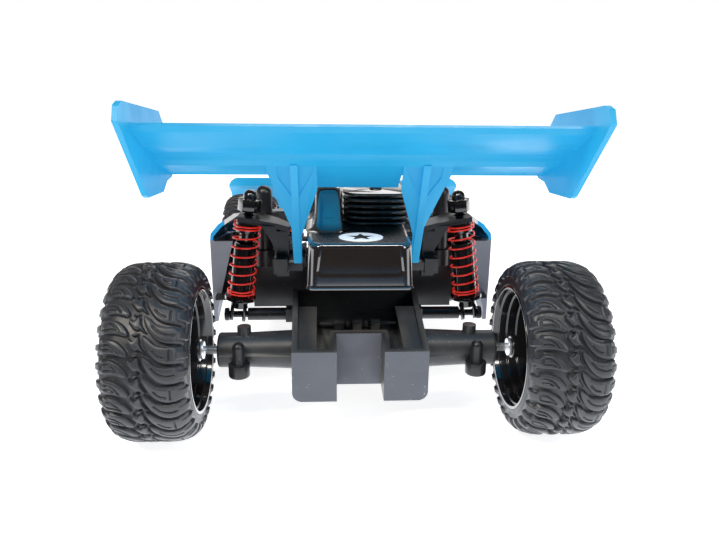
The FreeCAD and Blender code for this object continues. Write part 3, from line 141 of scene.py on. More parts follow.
def moulded(name, color, roughness=0.4, grain=0.00002, grain_scale=2600.0, mottle=0.12, rub_and_highlight=0.08,
            coat=0.0, specks=0.0, metallic=0.0, rub_and_highlight_color=None):
    """Moulded or coated surface: fine grain, cloudy gloss, lightened edges and a little dust; the edges are rubbed
    wear on most materials and a painted highlight on the gear case, fins and wing.
    """
    material = blank_material(name)
    output = add(material, "ShaderNodeOutputMaterial")
    surface = add(material, "ShaderNodeBsdfPrincipled")
    cloud = noise(material, 55.0, 4.0)
    darker = rgba([channel * (1.0 - mottle) for channel in color])
    lighter = rgba([min(channel * (1.0 + mottle) + 0.002, 1.0) for channel in color])
    base = mix_color(material, remap(material, cloud, 0.3, 0.7, 0.0, 1.0), darker, lighter)
    rub_and_highlight_tint = rub_and_highlight_color or [min(channel * 1.6 + 0.06, 1.0) for channel in color]
    # Convex edges lightened: rubbed wear at small amounts, a painted edge highlight on the gear case, fins and
    # wing.
    base = mix_color(material, convex_edge_rub_and_highlight(material, rub_and_highlight), base, rgba(rub_and_highlight_tint))
    if specks:
        dots = remap(material, noise(material, 900.0, 1.0), 0.74, 0.78, 0.0, specks)
        base = mix_color(material, dots, base, rgba((0.6, 0.6, 0.62)))
    link(material, base, surface.inputs["Base Color"])
    gloss = remap(material, noise(material, 140.0, 5.0), 0.3, 0.7, roughness * 0.85, roughness * 1.15)
    link(material, gloss, surface.inputs["Roughness"])
    surface.inputs["Metallic"].default_value = metallic
    surface.inputs["Coat Weight"].default_value = coat
    surface.inputs["Coat Roughness"].default_value = 0.06
    fine = bump(material, noise(material, grain_scale, 2.0), grain)
    waves = bump(material, noise(material, 38.0, 1.0), grain * 6.0, 0.5, fine)
    link(material, waves, surface.inputs["Normal"])
    link(material, surface.outputs["BSDF"], output.inputs["Surface"])
    return material


def set_glow(material, color, strength):
    surface = surface_node(material)
    surface.inputs["Emission Color"].default_value = rgba(color)
    surface.inputs["Emission Strength"].default_value = strength


def surface_node(material):
    return next(node for node in material.node_tree.nodes if node.type == "BSDF_PRINCIPLED")


def axis_value(material, axis):
    split = add(material, "ShaderNodeSeparateXYZ")
    link(material, position(material), split.inputs["Vector"])
    return split.outputs[axis]


def calculate(material, operation, first, second=0.0):
    node = add(material, "ShaderNodeMath", operation=operation)
    feed(material, {node.inputs[0]: first, node.inputs[1]: second})
    return node.outputs["Value"]


# ---- materials ----

def black_plastic():
    return moulded("black_plastic", (0.013, 0.013, 0.015), 0.34, grain=0.000012, specks=0.3)


def gear_case_plastic():
    # The tan on its convex edges is a painted highlight line along the rounded edges of the case.
    return moulded("gear_case_plastic", (0.026, 0.0275, 0.030), 0.42, grain=0.000012, specks=0.3,
                   rub_and_highlight=0.7, rub_and_highlight_color=(0.17, 0.16, 0.14))


def painted_reflection_plastic(name, color):
    """The same black plastic painted a paler grey, a painted reflection of the white floor and backdrop, with dust
    specks and a little mottling.
    """
    return moulded(name, color, 0.5, grain=0.000012, specks=0.4, mottle=0.06)


def fin_metal():
    """Gloss black fins with a painted tan highlight along their edges."""
    return moulded("fin_metal", (0.008, 0.008, 0.009), 0.16, grain=0.000003, coat=0.6, rub_and_highlight=0.9,
                   rub_and_highlight_color=(0.42, 0.36, 0.27))


def gloss_black():
    return moulded("gloss_black", (0.008, 0.008, 0.009), 0.14, grain=0.000003, coat=0.6, rub_and_highlight=0.03)


def rubber():
    return moulded("tyre_rubber", (0.032, 0.034, 0.040), 0.38, grain=0.00003, grain_scale=1800.0,
                   rub_and_highlight=0.05)


def spring_red():
    """Glossy red coating with a little glow, so that thin wire stays bright."""
    material = moulded("spring_red", (0.90, 0.035, 0.020), 0.35, grain=0.000004, coat=0.3, rub_and_highlight=0.0)
    set_glow(material, (0.85, 0.03, 0.02), 0.35)
    return material


def badge_white():
    material = moulded("badge_white", (0.90, 0.90, 0.90), 0.3, grain=0.000003, mottle=0.02, rub_and_highlight=0.0)
    # Painted glow: the badge gives off a little light of its own so it stays bright white.
    set_glow(material, (1.0, 0.97, 0.93), 0.45)
    return material


def dark_glazing():
    return moulded("dark_glazing", (0.010, 0.013, 0.017), 0.07, grain=0.000002, coat=1.0, rub_and_highlight=0.0)


def plated_steel():
    return moulded("plated_steel", (0.80, 0.81, 0.84), 0.3, grain=0.000004, metallic=0.85, rub_and_highlight=0.0,
                   mottle=0.05)


def zinc_steel():
    return moulded("zinc_steel", (0.42, 0.42, 0.43), 0.34, grain=0.00001, metallic=1.0, mottle=0.15)


def bronze():
    return moulded("bronze", (0.48, 0.33, 0.15), 0.42, grain=0.00003, metallic=1.0, mottle=0.2)


def brass():
    return moulded("brass", (0.72, 0.55, 0.25), 0.22, grain=0.000005, metallic=1.0)


def nylon():
    return moulded("nylon", (0.74, 0.73, 0.68), 0.45, grain=0.000008, mottle=0.04)


def battery_sleeve():
    return moulded("battery_sleeve", (0.03, 0.16, 0.06), 0.25, grain=0.00001, coat=0.3)


def circuit_board():
    return moulded("circuit_board", (0.006, 0.06, 0.025), 0.28, grain=0.00001, coat=0.4)


def grey_plastic():
    return moulded("grey_plastic", (0.20, 0.21, 0.235), 0.45, grain=0.00002)


def wing_blue():
    """Satin blue plastic, thin enough to let a little light through, with a painted blue glow and a painted
    bright-blue highlight on its edges.
    """
    material = moulded("wing_blue", (0.016, 0.29, 0.45), 0.40, grain=0.00001, mottle=0.035, rub_and_highlight=0.25,
                       rub_and_highlight_color=(0.16, 0.70, 1.0))
    # Painted glow: the wing gives off blue light of its own to brighten its shaded faces.
    set_glow(material, (0.03, 0.46, 0.84), 0.43)
    surface = surface_node(material)
    surface.inputs["Specular IOR Level"].default_value = 0.38
    output = next(node for node in material.node_tree.nodes if node.type == "OUTPUT_MATERIAL")
    glow = add(material, "ShaderNodeBsdfTranslucent")
    glow.inputs["Color"].default_value = rgba((0.05, 0.58, 0.90))
    blend = add(material, "ShaderNodeMixShader")
    blend.inputs["Fac"].default_value = 0.25
    link(material, surface.outputs["BSDF"], blend.inputs[1])
    link(material, glow.outputs["BSDF"], blend.inputs[2])
    link(material, blend.outputs["Shader"], output.inputs["Surface"])
    return material


BORDER_INSIDE = 72.2 * MM
STRIPE_HALF_WIDTH = 10.5 * MM
STRIPE_START_Y = 60.0 * MM
PAINT_EDGE = 0.4 * MM


def shell_paint():
    """White shell with a blue border along the outside of both side pods and a stripe on the nose."""
    material = moulded("shell_paint", (0.83, 0.84, 0.86), 0.16, grain=0.000004, coat=0.6, mottle=0.02,
                       rub_and_highlight=0.0)
    surface = surface_node(material)
    white = surface.inputs["Base Color"].links[0].from_socket
    across = calculate(material, "ABSOLUTE", axis_value(material, "X"))
    border = remap(material, across, BORDER_INSIDE, BORDER_INSIDE + PAINT_EDGE, 0.0, 1.0)
    narrow = remap(material, across, STRIPE_HALF_WIDTH, STRIPE_HALF_WIDTH - PAINT_EDGE, 0.0, 1.0)
    ahead = axis_value(material, "Y")
    started = remap(material, ahead, STRIPE_START_Y, STRIPE_START_Y + PAINT_EDGE, 0.0, 1.0)
    stripe = calculate(material, "MULTIPLY", narrow, started)
    blue = calculate(material, "MAXIMUM", border, stripe)
    painted = mix_color(material, blue, white, rgba((0.03, 0.42, 0.88)))
    link(material, painted, surface.inputs["Base Color"])
    return material


INTAKE_FOOT_Z = 101.0 * MM
POLISH_START_Z = 104.0 * MM


def engine_gloss():
    """Piano black with a finely pebbled top and a mirror polish on the intake above it."""
    material = moulded("engine_gloss", (0.013, 0.011, 0.010), 0.05, grain=0.0000015, grain_scale=900.0,
                       coat=1.0, rub_and_highlight=0.02)
    surface = surface_node(material)
    geometry = add(material, "ShaderNodeNewGeometry")
    split = add(material, "ShaderNodeSeparateXYZ")
    link(material, geometry.outputs["Normal"], split.inputs["Vector"])
    top = remap(material, split.outputs["Z"], 0.96, 0.995, 0.0, 1.0)
    smooth = surface.inputs["Roughness"].links[0].from_socket
    pebbled = calculate(material, "MAXIMUM", smooth, calculate(material, "MULTIPLY", top, 0.34))
    link(material, pebbled, surface.inputs["Roughness"])
    link(material, calculate(material, "SUBTRACT", 1.0, top), surface.inputs["Coat Weight"])
    pebbles = noise(material, 1500.0, 1.0)
    sparkle = calculate(material, "SUBTRACT", remap(material, pebbles, 0.42, 0.62, 0.05, 0.75), 0.5)
    sheen = calculate(material, "ADD", calculate(material, "MULTIPLY", sparkle, top), 0.5)
    link(material, sheen, surface.inputs["Specular IOR Level"])
    height = calculate(material, "MULTIPLY", pebbles, top)
    before = surface.inputs["Normal"].links[0].from_socket
    link(material, bump(material, height, 0.0004, 0.9, before), surface.inputs["Normal"])
    polish = remap(material, axis_value(material, "Z"), INTAKE_FOOT_Z, POLISH_START_Z, 1.9, 3.2)
    link(material, polish, surface.inputs["Coat IOR"])
    return material


BLACK = black_plastic()
GEAR_CASE = gear_case_plastic()
GLOSS = gloss_black()
FINS = fin_metal()
PIANO = engine_gloss()
RUBBER = rubber()
RED = spring_red()
BADGE_WHITE = badge_white()
GLAZING = dark_glazing()
STEEL = plated_steel()
ZINC = zinc_steel()
BRONZE = bronze()
BRASS = brass()
NYLON = nylon()
SLEEVE = battery_sleeve()
BOARD = circuit_board()
GREY = grey_plastic()
# Paler grey for the lobe backs: a painted reflection of the white floor on black plastic.
PAINTED_REFLECTION_GREY = painted_reflection_plastic("painted_reflection_plastic", (0.082, 0.091, 0.114))
# Pale grey for the side guards: a painted reflection of the white backdrop in black plastic.
GUARD = painted_reflection_plastic("guard_plastic", (0.215, 0.235, 0.285))
BLUE = wing_blue()
SHELL = shell_paint()


# ---- mesh helpers ----

def body_of(node):
    return next(body for body, nodes in frame["record"]["behaviour"]["bodies"].items() if node in nodes)


def new_object(name, vertices, faces, material, smooth=True):
    mesh = bpy.data.meshes.new(name)
    mesh.from_pydata([tuple(v) for v in vertices], [], [tuple(f) for f in faces])
    mesh.materials.append(material)
    mesh.update()
    if smooth:
        mesh.polygons.foreach_set("use_smooth", [True] * len(mesh.polygons))
    piece = bpy.data.objects.new(name, mesh)
    bpy.context.scene.collection.objects.link(piece)
    return piece


def paint(nodes, material):
    """Give CAD nodes that stay visible their finished material."""
    for node in nodes:
        piece = frame["nodes"][node]
        for slot in piece.material_slots:
            slot.material = material


def apply_modifiers(piece):
    depsgraph = bpy.context.evaluated_depsgraph_get()
    mesh = bpy.data.meshes.new_from_object(piece.evaluated_get(depsgraph))
    piece.modifiers.clear()
    piece.data = mesh


SHARP_ANGLE = math.radians(32.0)
TURNED_SHARP_ANGLE = math.radians(40.0)


def eased(node, width, material, segments=2, flat_faces=True):
    """A copy of a CAD node whose sharp edges are rounded over, shown in its place.

    Pieces with large flat faces keep them flat; turned pieces are shaded smoothly instead.
    """
    source = frame["nodes"][node]
    mesh = source.data.copy()
    mesh.materials.clear()
    mesh.materials.append(material)
    shape = bmesh.new()
    shape.from_mesh(mesh)
    bmesh.ops.remove_doubles(shape, verts=shape.verts, dist=0.000004)
    bmesh.ops.dissolve_limit(shape, angle_limit=math.radians(1.0), verts=shape.verts, edges=shape.edges)
    shape.to_mesh(mesh)
    shape.free()
    piece = bpy.data.objects.new(node + "_finished", mesh)
    bpy.context.scene.collection.objects.link(piece)
    bevel = piece.modifiers.new("edges", "BEVEL")
    bevel.width = width
    bevel.segments = segments
    bevel.limit_method = "ANGLE"
    bevel.angle_limit = SHARP_ANGLE
    bevel.harden_normals = flat_faces
    mesh.polygons.foreach_set("use_smooth", [True] * len(mesh.polygons))
    if flat_faces:
        mesh.set_sharp_from_angle(angle=SHARP_ANGLE)
    apply_modifiers(piece)
    if not flat_faces:
        piece.data.polygons.foreach_set("use_smooth", [True] * len(piece.data.polygons))
        piece.data.set_sharp_from_angle(angle=TURNED_SHARP_ANGLE)
    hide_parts(node)
    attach(piece, body_of(node))
    return piece


def repaint(piece, material, chosen):
    """Give another material to the faces whose centre and normal pass the test."""
    piece.data.materials.append(material)
    place = piece.matrix_world
    for face in piece.data.polygons:
        if chosen(place @ face.center, face.normal):
            face.material_index = len(piece.data.materials) - 1


# ---- tyres ----

LUG_PAIRS = 15
TREAD_RADIUS = 43.0
TILE = 2 * math.pi * TREAD_RADIUS / LUG_PAIRS
PITCH = TILE / 2
GROOVE_DEPTH = 2.4
SIDE_DEPTH = 1.3
CUT_DEPTH = 0.9
SHOULDER_DROP = 0.55
CROWN = 0.3
SECTION_STEP = 0.27
ROWS_PER_TILE = 64
TYRE_PROFILE = [(0.0, 43.0), (8.6, 42.8), (12.9, 42.1), (16.5, 40.5), (18.9, 37.9), (19.65, 35.4),
                (19.5, 33.4), (19.2, 31.6), (18.6, 30.6), (17.9, 30.4)]

# One pitch of the tread as (across, around) in mm: outlines of the raised blocks.
LEAF = [(-21.0, 0.5), (-17.5, 0.0), (-13.5, 0.0), (-9.8, 0.9), (-7.0, 2.9), (-4.9, 5.6), (-4.4, 7.4),
        (-5.8, 8.3), (-8.6, 7.5), (-11.6, 7.0), (-17.5, 7.2), (-21.0, 7.5)]
PLATE = [(2.8, -2.8), (4.6, 0.4), (7.0, 2.6), (10.5, 3.6), (16.0, 3.5), (21.0, 3.8), (21.0, 11.1),
         (16.0, 11.6), (11.0, 11.3), (7.6, 9.9), (5.0, 7.4), (3.0, 4.4), (1.7, 1.4), (1.4, -1.2)]
BAT = [(-4.4, -0.5), (-2.8, 1.0), (-0.8, -1.1), (0.3, -0.3), (0.5, 2.3), (2.0, 5.0), (3.7, 7.0),
       (2.1, 6.5), (0.2, 5.0), (-1.4, 5.6), (-2.8, 4.5), (-4.8, 1.8)]
NUB = [(-3.4, 7.1), (-1.6, 6.5), (0.4, 6.7), (-0.3, 7.8), (-2.0, 8.3)]
OUTER_TAB = [(-23.6, 1.7), (-16.4, 1.7), (-16.4, 5.3), (-23.6, 5.3)]
INNER_TAB = [(15.6, 5.5), (23.6, 5.5), (23.6, 9.3), (15.6, 9.3)]

# Fine cuts inside the blocks; the two lugs of a pair differ.
CUTS = [
    [[(-15.6, 2.0), (-13.0, 2.0), (-10.6, 3.3), (-8.4, 5.9), (-11.2, 4.9), (-15.6, 4.6), (-15.6, 2.0)],
     [(5.4, 3.6), (8.0, 6.2), (11.4, 7.5), (15.0, 7.4)]],
    [[(-15.4, 2.5), (-13.0, 2.6), (-10.6, 3.8), (-8.4, 6.3)], [(-15.4, 4.6), (-12.6, 4.6), (-11.0, 5.3)],
     [(12.8, 5.4), (12.8, 9.7)], [(6.0, 5.4), (8.2, 7.6), (10.6, 8.5)]],
]


def smoothstep(values):
    values = np.clip(values, 0.0, 1.0)
    return values * values * (3.0 - 2.0 * values)


def curve_through(points, steps=6):
    """Catmull-Rom curve through a few points."""
    padded = np.array([points[0], *points, points[-1]], float)
    result = []
    for p, q, r, s in zip(padded, padded[1:], padded[2:], padded[3:]):
        for step in range(steps):
            t = step / steps
            curved = (2 * p - 5 * q + 4 * r - s) * t ** 2 + (3 * q - p - 3 * r + s) * t ** 3
            result.append(0.5 * (2 * q + (r - p) * t + curved))
    result.append(padded[-1])
    return np.array(result)


def distance_to_line(across, around, line):
    nearest = np.full(across.shape, 1e9)
    for (x0, y0), (x1, y1) in zip(line[:-1], line[1:]):
        dx, dy = x1 - x0, y1 - y0
        t = np.clip(((across - x0) * dx + (around - y0) * dy) / (dx * dx + dy * dy + 1e-9), 0, 1)
        nearest = np.minimum(nearest, np.hypot(across - x0 - t * dx, around - y0 - t * dy))
    return nearest


def distance_to_curve(across, around, curve):
    """Distance of every grid point to a curve that repeats around the tyre."""
    repeats = [distance_to_line(across, around - shift, curve) for shift in (-TILE, 0.0, TILE)]
    return np.minimum.reduce(repeats)


def closed_curve(points):
    """Smooth closed curve through a block's corners."""
    steps = 5
    count = len(points)
    looped = [points[i % count] for i in range(-1, count + 2)]
    return curve_through(looped, steps)[steps * 2:-steps * 2 + 1]


def inside_distance(across, around, outline):
    """How far inside a repeating outline every grid point lies, in mm; zero outside it."""
    ring = np.vstack([outline, outline[:1]])
    deepest = np.zeros(across.shape)
    for shift in (-TILE, 0.0, TILE):
        gap = distance_to_line(across, around - shift, ring)
        inside = np.zeros(across.shape, bool)
        for (x0, y0), (x1, y1) in zip(ring[:-1], ring[1:]):
            if y0 == y1:
                continue
            spans = (y0 > around - shift) != (y1 > around - shift)
            inside ^= spans & (across < x0 + (around - shift - y0) * (x1 - x0) / (y1 - y0))
        deepest = np.maximum(deepest, np.where(inside, gap, 0.0))
    return deepest


def tread_depth(across, around):
    """How far the surface sits below the tops of the highest blocks, in mm."""
    side = np.abs(across)
    ground = GROOVE_DEPTH + (SIDE_DEPTH - GROOVE_DEPTH) * smoothstep((side - 17.0) / 4.0)
    sunk = SHOULDER_DROP * smoothstep((side - 14.5) / 3.0)
    depth = ground
    for lug in range(2):
        offset = np.array([0.0, lug * PITCH])
        for outline in (closed_curve(LEAF), closed_curve(PLATE), np.array(BAT), np.array(NUB)):
            inside = inside_distance(across, around, outline + offset)
            rise = smoothstep(inside / 0.42)
            pillow = CROWN * (1 - smoothstep(inside / 1.8))
            depth = np.minimum(depth, ground * (1 - rise) + (sunk + pillow) * rise)
        for cut in CUTS[lug]:
            gap = distance_to_curve(across, around, curve_through(cut) + offset)
            depth = np.maximum(depth, CUT_DEPTH * (1 - smoothstep((gap - 0.22) / 0.35)))
        for outline in (OUTER_TAB, INNER_TAB):
            rise = smoothstep(inside_distance(across, around, np.array(outline) + offset) / 0.4)
            depth = depth * (1 - rise)
    return depth


def tyre_section():
    """Points and outward normals of the tyre's outside, with the distance across from its middle."""
    half = curve_through(TYRE_PROFILE, 14)
    profile = np.vstack([half[::-1] * [-1, 1], half[1:]])
    step = np.hypot(*np.diff(profile, axis=0).T)
    along = np.concatenate([[0.0], np.cumsum(step)])
    count = int(along[-1] / SECTION_STEP)
    even = np.linspace(0, along[-1], count)
    section = np.column_stack([np.interp(even, along, column) for column in profile.T])
    tangent = np.gradient(section, axis=0)
    tangent /= np.linalg.norm(tangent, axis=1)[:, None]
    normal = np.column_stack([-tangent[:, 1], tangent[:, 0]])
    return section, normal, even - along[-1] / 2


def tyre_mesh():
    """Lugged tyre about the X axis through the origin, in metres."""
    section, normal, across = tyre_section()
    around = np.arange(ROWS_PER_TILE) * TILE / ROWS_PER_TILE
    grid_across, grid_around = np.meshgrid(across, around)
    depth = np.tile(tread_depth(grid_across, grid_around), (LUG_PAIRS, 1))
    to_bead = across.max() - np.abs(across)
    depth = depth * smoothstep((to_bead - 1.0) / 3.0)[None, :]
    angle = np.arange(depth.shape[0]) * 2 * math.pi / depth.shape[0]
    x = section[None, :, 0] - normal[None, :, 0] * depth
    r = section[None, :, 1] - normal[None, :, 1] * depth
    points = np.stack([x, -r * np.sin(angle)[:, None], r * np.cos(angle)[:, None]], axis=-1) * MM
    rows, columns = depth.shape
    index = np.arange(rows * columns).reshape(rows, columns)
    below = np.roll(index, -1, axis=0)
    quads = np.stack([index[:, :-1], index[:, 1:], below[:, 1:], below[:, :-1]], axis=-1).reshape(-1, 4)
    closing = np.stack([index[:, -1], index[:, 0], below[:, 0], below[:, -1]], axis=-1)
    mesh = bpy.data.meshes.new("tyre_tread")
    mesh.from_pydata(points.reshape(-1, 3).tolist(), [], np.vstack([quads, closing]).tolist())
    mesh.polygons.foreach_set("use_smooth", [True] * len(mesh.polygons))
    mesh.materials.append(RUBBER)
    mesh.update()
    return mesh


def make_tyres():
    mesh = tyre_mesh()
    for axle in ("rear", "front"):
        for side in ("left", "right"):
            node = f"{axle}_tyre_{side}"
            low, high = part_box(node)
            piece = bpy.data.objects.new(node + "_lugged", mesh)
            bpy.context.scene.collection.objects.link(piece)
            piece.location = (low + high) / 2
            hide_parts(node)
            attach(piece, body_of(node))


# ---- springs ----

COIL_RADIUS = 6.95 * MM
WIRE_RADIUS = 0.42 * MM
SPRING_FOOT = 11.2 * MM
SPRING_HEAD = 5.4 * MM
SPRING_TURNS = 10.5
CLOSED_TURNS = 1.8
CLOSED_PITCH = 0.30
STEPS_PER_TURN = 28
FRONT_SHOCK_LEAN = 9.0 * MM
FRONT_SHOCK_HEIGHT = 55.0 * MM


def coil_height(turn):
    """Share of the spring's height reached at a turn: close wound at both ends."""
    closed = min(turn, CLOSED_TURNS) + max(turn - (SPRING_TURNS - CLOSED_TURNS), 0)
    whole = CLOSED_PITCH * 2 * CLOSED_TURNS + SPRING_TURNS - 2 * CLOSED_TURNS
    return (CLOSED_PITCH * closed + turn - closed) / whole


def coil_points(length):
    """Middle line of the wire of a shock of this length, whose foot is at the origin."""
    bottom = SPRING_FOOT + WIRE_RADIUS
    top = length - SPRING_HEAD - WIRE_RADIUS
    steps = int(SPRING_TURNS * STEPS_PER_TURN)
    points = []
    for step in range(steps + 1):
        turn = SPRING_TURNS * step / steps
        angle = 2 * math.pi * turn
        points.append(Vector((COIL_RADIUS * math.cos(angle), COIL_RADIUS * math.sin(angle),
                              bottom + (top - bottom) * coil_height(turn))))
    return points


def tube_along(points, radius):
    """Vertices and faces of a closed round tube that follows the points."""
    sides = 10
    vertices = []
    for i, point in enumerate(points):
        ahead = points[min(i + 1, len(points) - 1)] - points[max(i - 1, 0)]
        ahead.normalize()
        out = Vector((point.x, point.y, 0)).normalized()
        up = ahead.cross(out).normalized()
        out = up.cross(ahead)
        vertices += [point + (out * math.cos(a) + up * math.sin(a)) * radius
                     for a in (2 * math.pi * k / sides for k in range(sides))]
    faces = []
    for i in range(len(points) - 1):
        for k in range(sides):
            following = (k + 1) % sides
            here, there = i * sides, (i + 1) * sides
            faces.append((here + k, here + following, there + following, there + k))
    faces.append(tuple(reversed(range(sides))))
    faces.append(tuple(range((len(points) - 1) * sides, len(points) * sides)))
    return vertices, faces


def make_spring(name, foot, head, body):
    """A spring from its foot to its head that rides on a body."""
    axis = head - foot
    vertices, faces = tube_along(coil_points(axis.length), WIRE_RADIUS)
    turn = Vector((0, 0, 1)).rotation_difference(axis).to_matrix().to_4x4()
    placed = [Matrix.Translation(foot) @ turn @ vertex for vertex in vertices]
    piece = new_object(name, placed, faces, RED)
    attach(piece, body)
    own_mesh(piece)
    return piece


def make_springs():
    for side, sign in SIDES:
        foot = Vector(JOINTS[f"rear_sleeve_{side}_tilt"]["pos_m"])
        head = Vector(JOINTS[f"rear_rod_{side}_tilt"]["pos_m"])
        rear = make_spring(f"rear_spring_{side}", foot, head, f"rear_rod_{side}")
        if side == "left":
            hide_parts("rear_springs")
        foot = Vector(JOINTS[f"front_sleeve_{side}_tilt"]["pos_m"])
        head = foot + Vector((-sign * FRONT_SHOCK_LEAN, 0.0, FRONT_SHOCK_HEIGHT))
        front = make_spring(f"front_coil_{side}", foot, head, "chassis")
        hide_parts(f"front_spring_{side}")


# ---- rims ----

# Section of the rim as (across from the inner edge, radius) in mm: barrel, disc, then the steps inside.
RIM_SECTION = [(0.6, 29.1), (0.6, 30.6), (2.4, 30.8), (37.1, 30.8), (38.9, 30.6), (38.9, 29.5),
               (35.5, 28.6), (28.5, 27.4), (28.5, 4.0), (26.0, 4.0), (26.0, 24.2), (12.2, 25.4),
               (12.2, 26.3), (7.4, 26.6), (7.4, 27.5), (3.4, 27.8), (3.4, 28.7)]
HUB_END = 31.0
SPOKES = 5
REAR_HUB_START = 1.6
FRONT_HUB_START = 15.6


def rounded_section(points, radius):
    """The closed section with every corner turned into a small arc."""
    steps = 4
    result = []
    for i, corner in enumerate(points):
        corner = Vector(corner)
        before = Vector(points[i - 1]) - corner
        after = Vector(points[(i + 1) % len(points)]) - corner
        reach = min(radius, before.length * 0.45, after.length * 0.45)
        start = corner + before.normalized() * reach
        end = corner + after.normalized() * reach
        for step in range(steps + 1):
            t = step / steps
            result.append(start * (1 - t) ** 2 + corner * 2 * t * (1 - t) + end * t ** 2)
    return result


def turned(section, segments=144):
    """Vertices and faces of a closed section turned about the X axis."""
    count = len(section)
    vertices = []
    for step in range(segments):
        angle = 2 * math.pi * step / segments
        vertices += [Vector((x, r * math.cos(angle), r * math.sin(angle))) for x, r in section]
    faces = []
    for step in range(segments):
        here = step * count
        there = (step + 1) % segments * count
        for i in range(count):
            following = (i + 1) % count
            faces.append((here + i, here + following, there + following, there + i))
    return vertices, faces


def spoke(angle):
    """Tapered bar standing out of the rim's outer disc."""
    at_hub = (4.0, 3.4)
    at_barrel = (28.0, 2.2)
    corners = [Vector((x, side * half_width, radius)) for radius, half_width in (at_hub, at_barrel)
               for x in (28.0, 32.5) for side in (-1, 1)]
    turn = Matrix.Rotation(angle, 3, "X")
    faces = [(0, 1, 3, 2), (4, 6, 7, 5), (0, 4, 5, 1), (2, 3, 7, 6), (0, 2, 6, 4), (1, 5, 7, 3)]
    return [turn @ corner for corner in corners], faces


def make_rim(node, sign, hub_start):
    """Deep dish rim with a stepped, rounded inner edge; its open side faces the car."""
    hub = [(hub_start, 2.0), (hub_start, 5.5), (HUB_END, 5.5), (HUB_END, 2.0)]
    shapes = [turned(rounded_section(RIM_SECTION, 0.5)), turned(rounded_section(hub, 0.5), 48)]
    shapes += [spoke(2 * math.pi * index / SPOKES) for index in range(SPOKES)]
    vertices, faces = [], []
    for points, loops in shapes:
        start = len(vertices)
        vertices += [Vector((sign * p.x, p.y, p.z)) * MM for p in points]
        faces += [tuple(start + i for i in loop) for loop in loops]
    low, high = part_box(node)
    inside = high.x if sign < 0 else low.x
    centre = Vector((inside, (low.y + high.y) / 2, (low.z + high.z) / 2))
    piece = new_object(node + "_turned", [v + centre for v in vertices], faces, GLOSS)
    shape = bmesh.new()
    shape.from_mesh(piece.data)
    bmesh.ops.recalc_face_normals(shape, faces=shape.faces)
    shape.to_mesh(piece.data)
    shape.free()
    bevel = piece.modifiers.new("edges", "BEVEL")
    bevel.width = 0.4 * MM
    bevel.segments = 2
    bevel.limit_method = "ANGLE"
    bevel.angle_limit = math.radians(60.0)
    apply_modifiers(piece)
    piece.data.set_sharp_from_angle(angle=math.radians(45.0))
    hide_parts(node)
    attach(piece, body_of(node))


def make_rims():
    for side, sign in SIDES:
        make_rim(f"rear_rim_{side}", sign, REAR_HUB_START)
        make_rim(f"front_rim_{side}", sign, FRONT_HUB_START)


# ---- engine cover ----

# In mm: x from the middle, y from the rear axle, z above the ground.
COVER_BACK = -20.0
COVER_FRONT = 60.0
COVER_BACK_HALF = 24.5
COVER_FRONT_HALF = 26.6
PLATEAU_Z = 100.4
COVER_FOOT_Z = 79.4
WALL_FOOT_Z = 81.0
WALL_STEP = 0.4
WALL_STEPS = 44
PANE_HALF_WIDTH = 20.4
PANE_FOOT_Z = 85.6
PANE_CORNER = 4.0
PANE_SUNK = 0.5
INTAKE_MIDDLE_X = -14.0
INTAKE_HALF_WIDTH = 6.4
INTAKE_BACK = 8.2
INTAKE_FRONT = 37.8
INTAKE_LEAN = 0.52


def rounded_outline(half_back, half_front, back, front, corner, side_steps=90):
    """Plan outline with rounded corners, the same number of points whatever its size."""
    corner_steps = 10
    corners = [(half_back, back, -1, 1), (half_front, front, 1, 1), (-half_front, front, 1, -1),
               (-half_back, back, -1, -1)]
    arcs = []
    for index, (x, y, along, side) in enumerate(corners):
        centre = Vector((x - side * corner, y - along * corner))
        start = math.radians(-90 + 90 * index)
        arc = [centre + Vector((math.cos(a), math.sin(a))) * corner
               for a in (start + math.pi / 2 * k / corner_steps for k in range(corner_steps + 1))]
        arcs.append(arc)
    outline = []
    for arc, following in zip(arcs, arcs[1:] + arcs[:1]):
        outline += arc
        outline += [arc[-1].lerp(following[0], k / side_steps) for k in range(1, side_steps)]
    return outline


def lofted(rings):
    """Vertices and faces through stacked rings of (x, y, z) points, closed at the top."""
    count = len(rings[0])
    vertices = [point for ring in rings for point in ring]
    faces = []
    for level in range(len(rings) - 1):
        for i in range(count):
            following = (i + 1) % count
            here, there = level * count, (level + 1) * count
            faces.append((here + i, here + following, there + following, there + i))
    faces.append(tuple(range((len(rings) - 1) * count, len(rings) * count)))
    return vertices, faces


def pane_depth(x, z):
    """Depth of the sunk window in the cover's back at a point, in mm; it runs out at the top edge."""
    beyond_side = max(abs(x) - PANE_HALF_WIDTH + PANE_CORNER, 0)
    beyond_foot = max(PANE_FOOT_Z + PANE_CORNER - z, 0)
    to_corner = PANE_CORNER - math.hypot(beyond_side, beyond_foot)
    reach = min(PANE_HALF_WIDTH - abs(x), z - PANE_FOOT_Z, to_corner)
    return PANE_SUNK * float(smoothstep(np.array(reach)))


def cover_ring(z, inset, corner):
    """Outline of the cover at a height, set in from its footprint and sunk at the window."""
    outline = rounded_outline(COVER_BACK_HALF - inset, COVER_FRONT_HALF - inset, COVER_BACK + inset,
                              COVER_FRONT - inset, corner)
    ring = []
    for x, y in outline:
        sunk = pane_depth(x, z) if y < COVER_BACK + inset + 0.01 else 0.0
        ring.append(Vector((x, y + sunk, z)))
    return ring


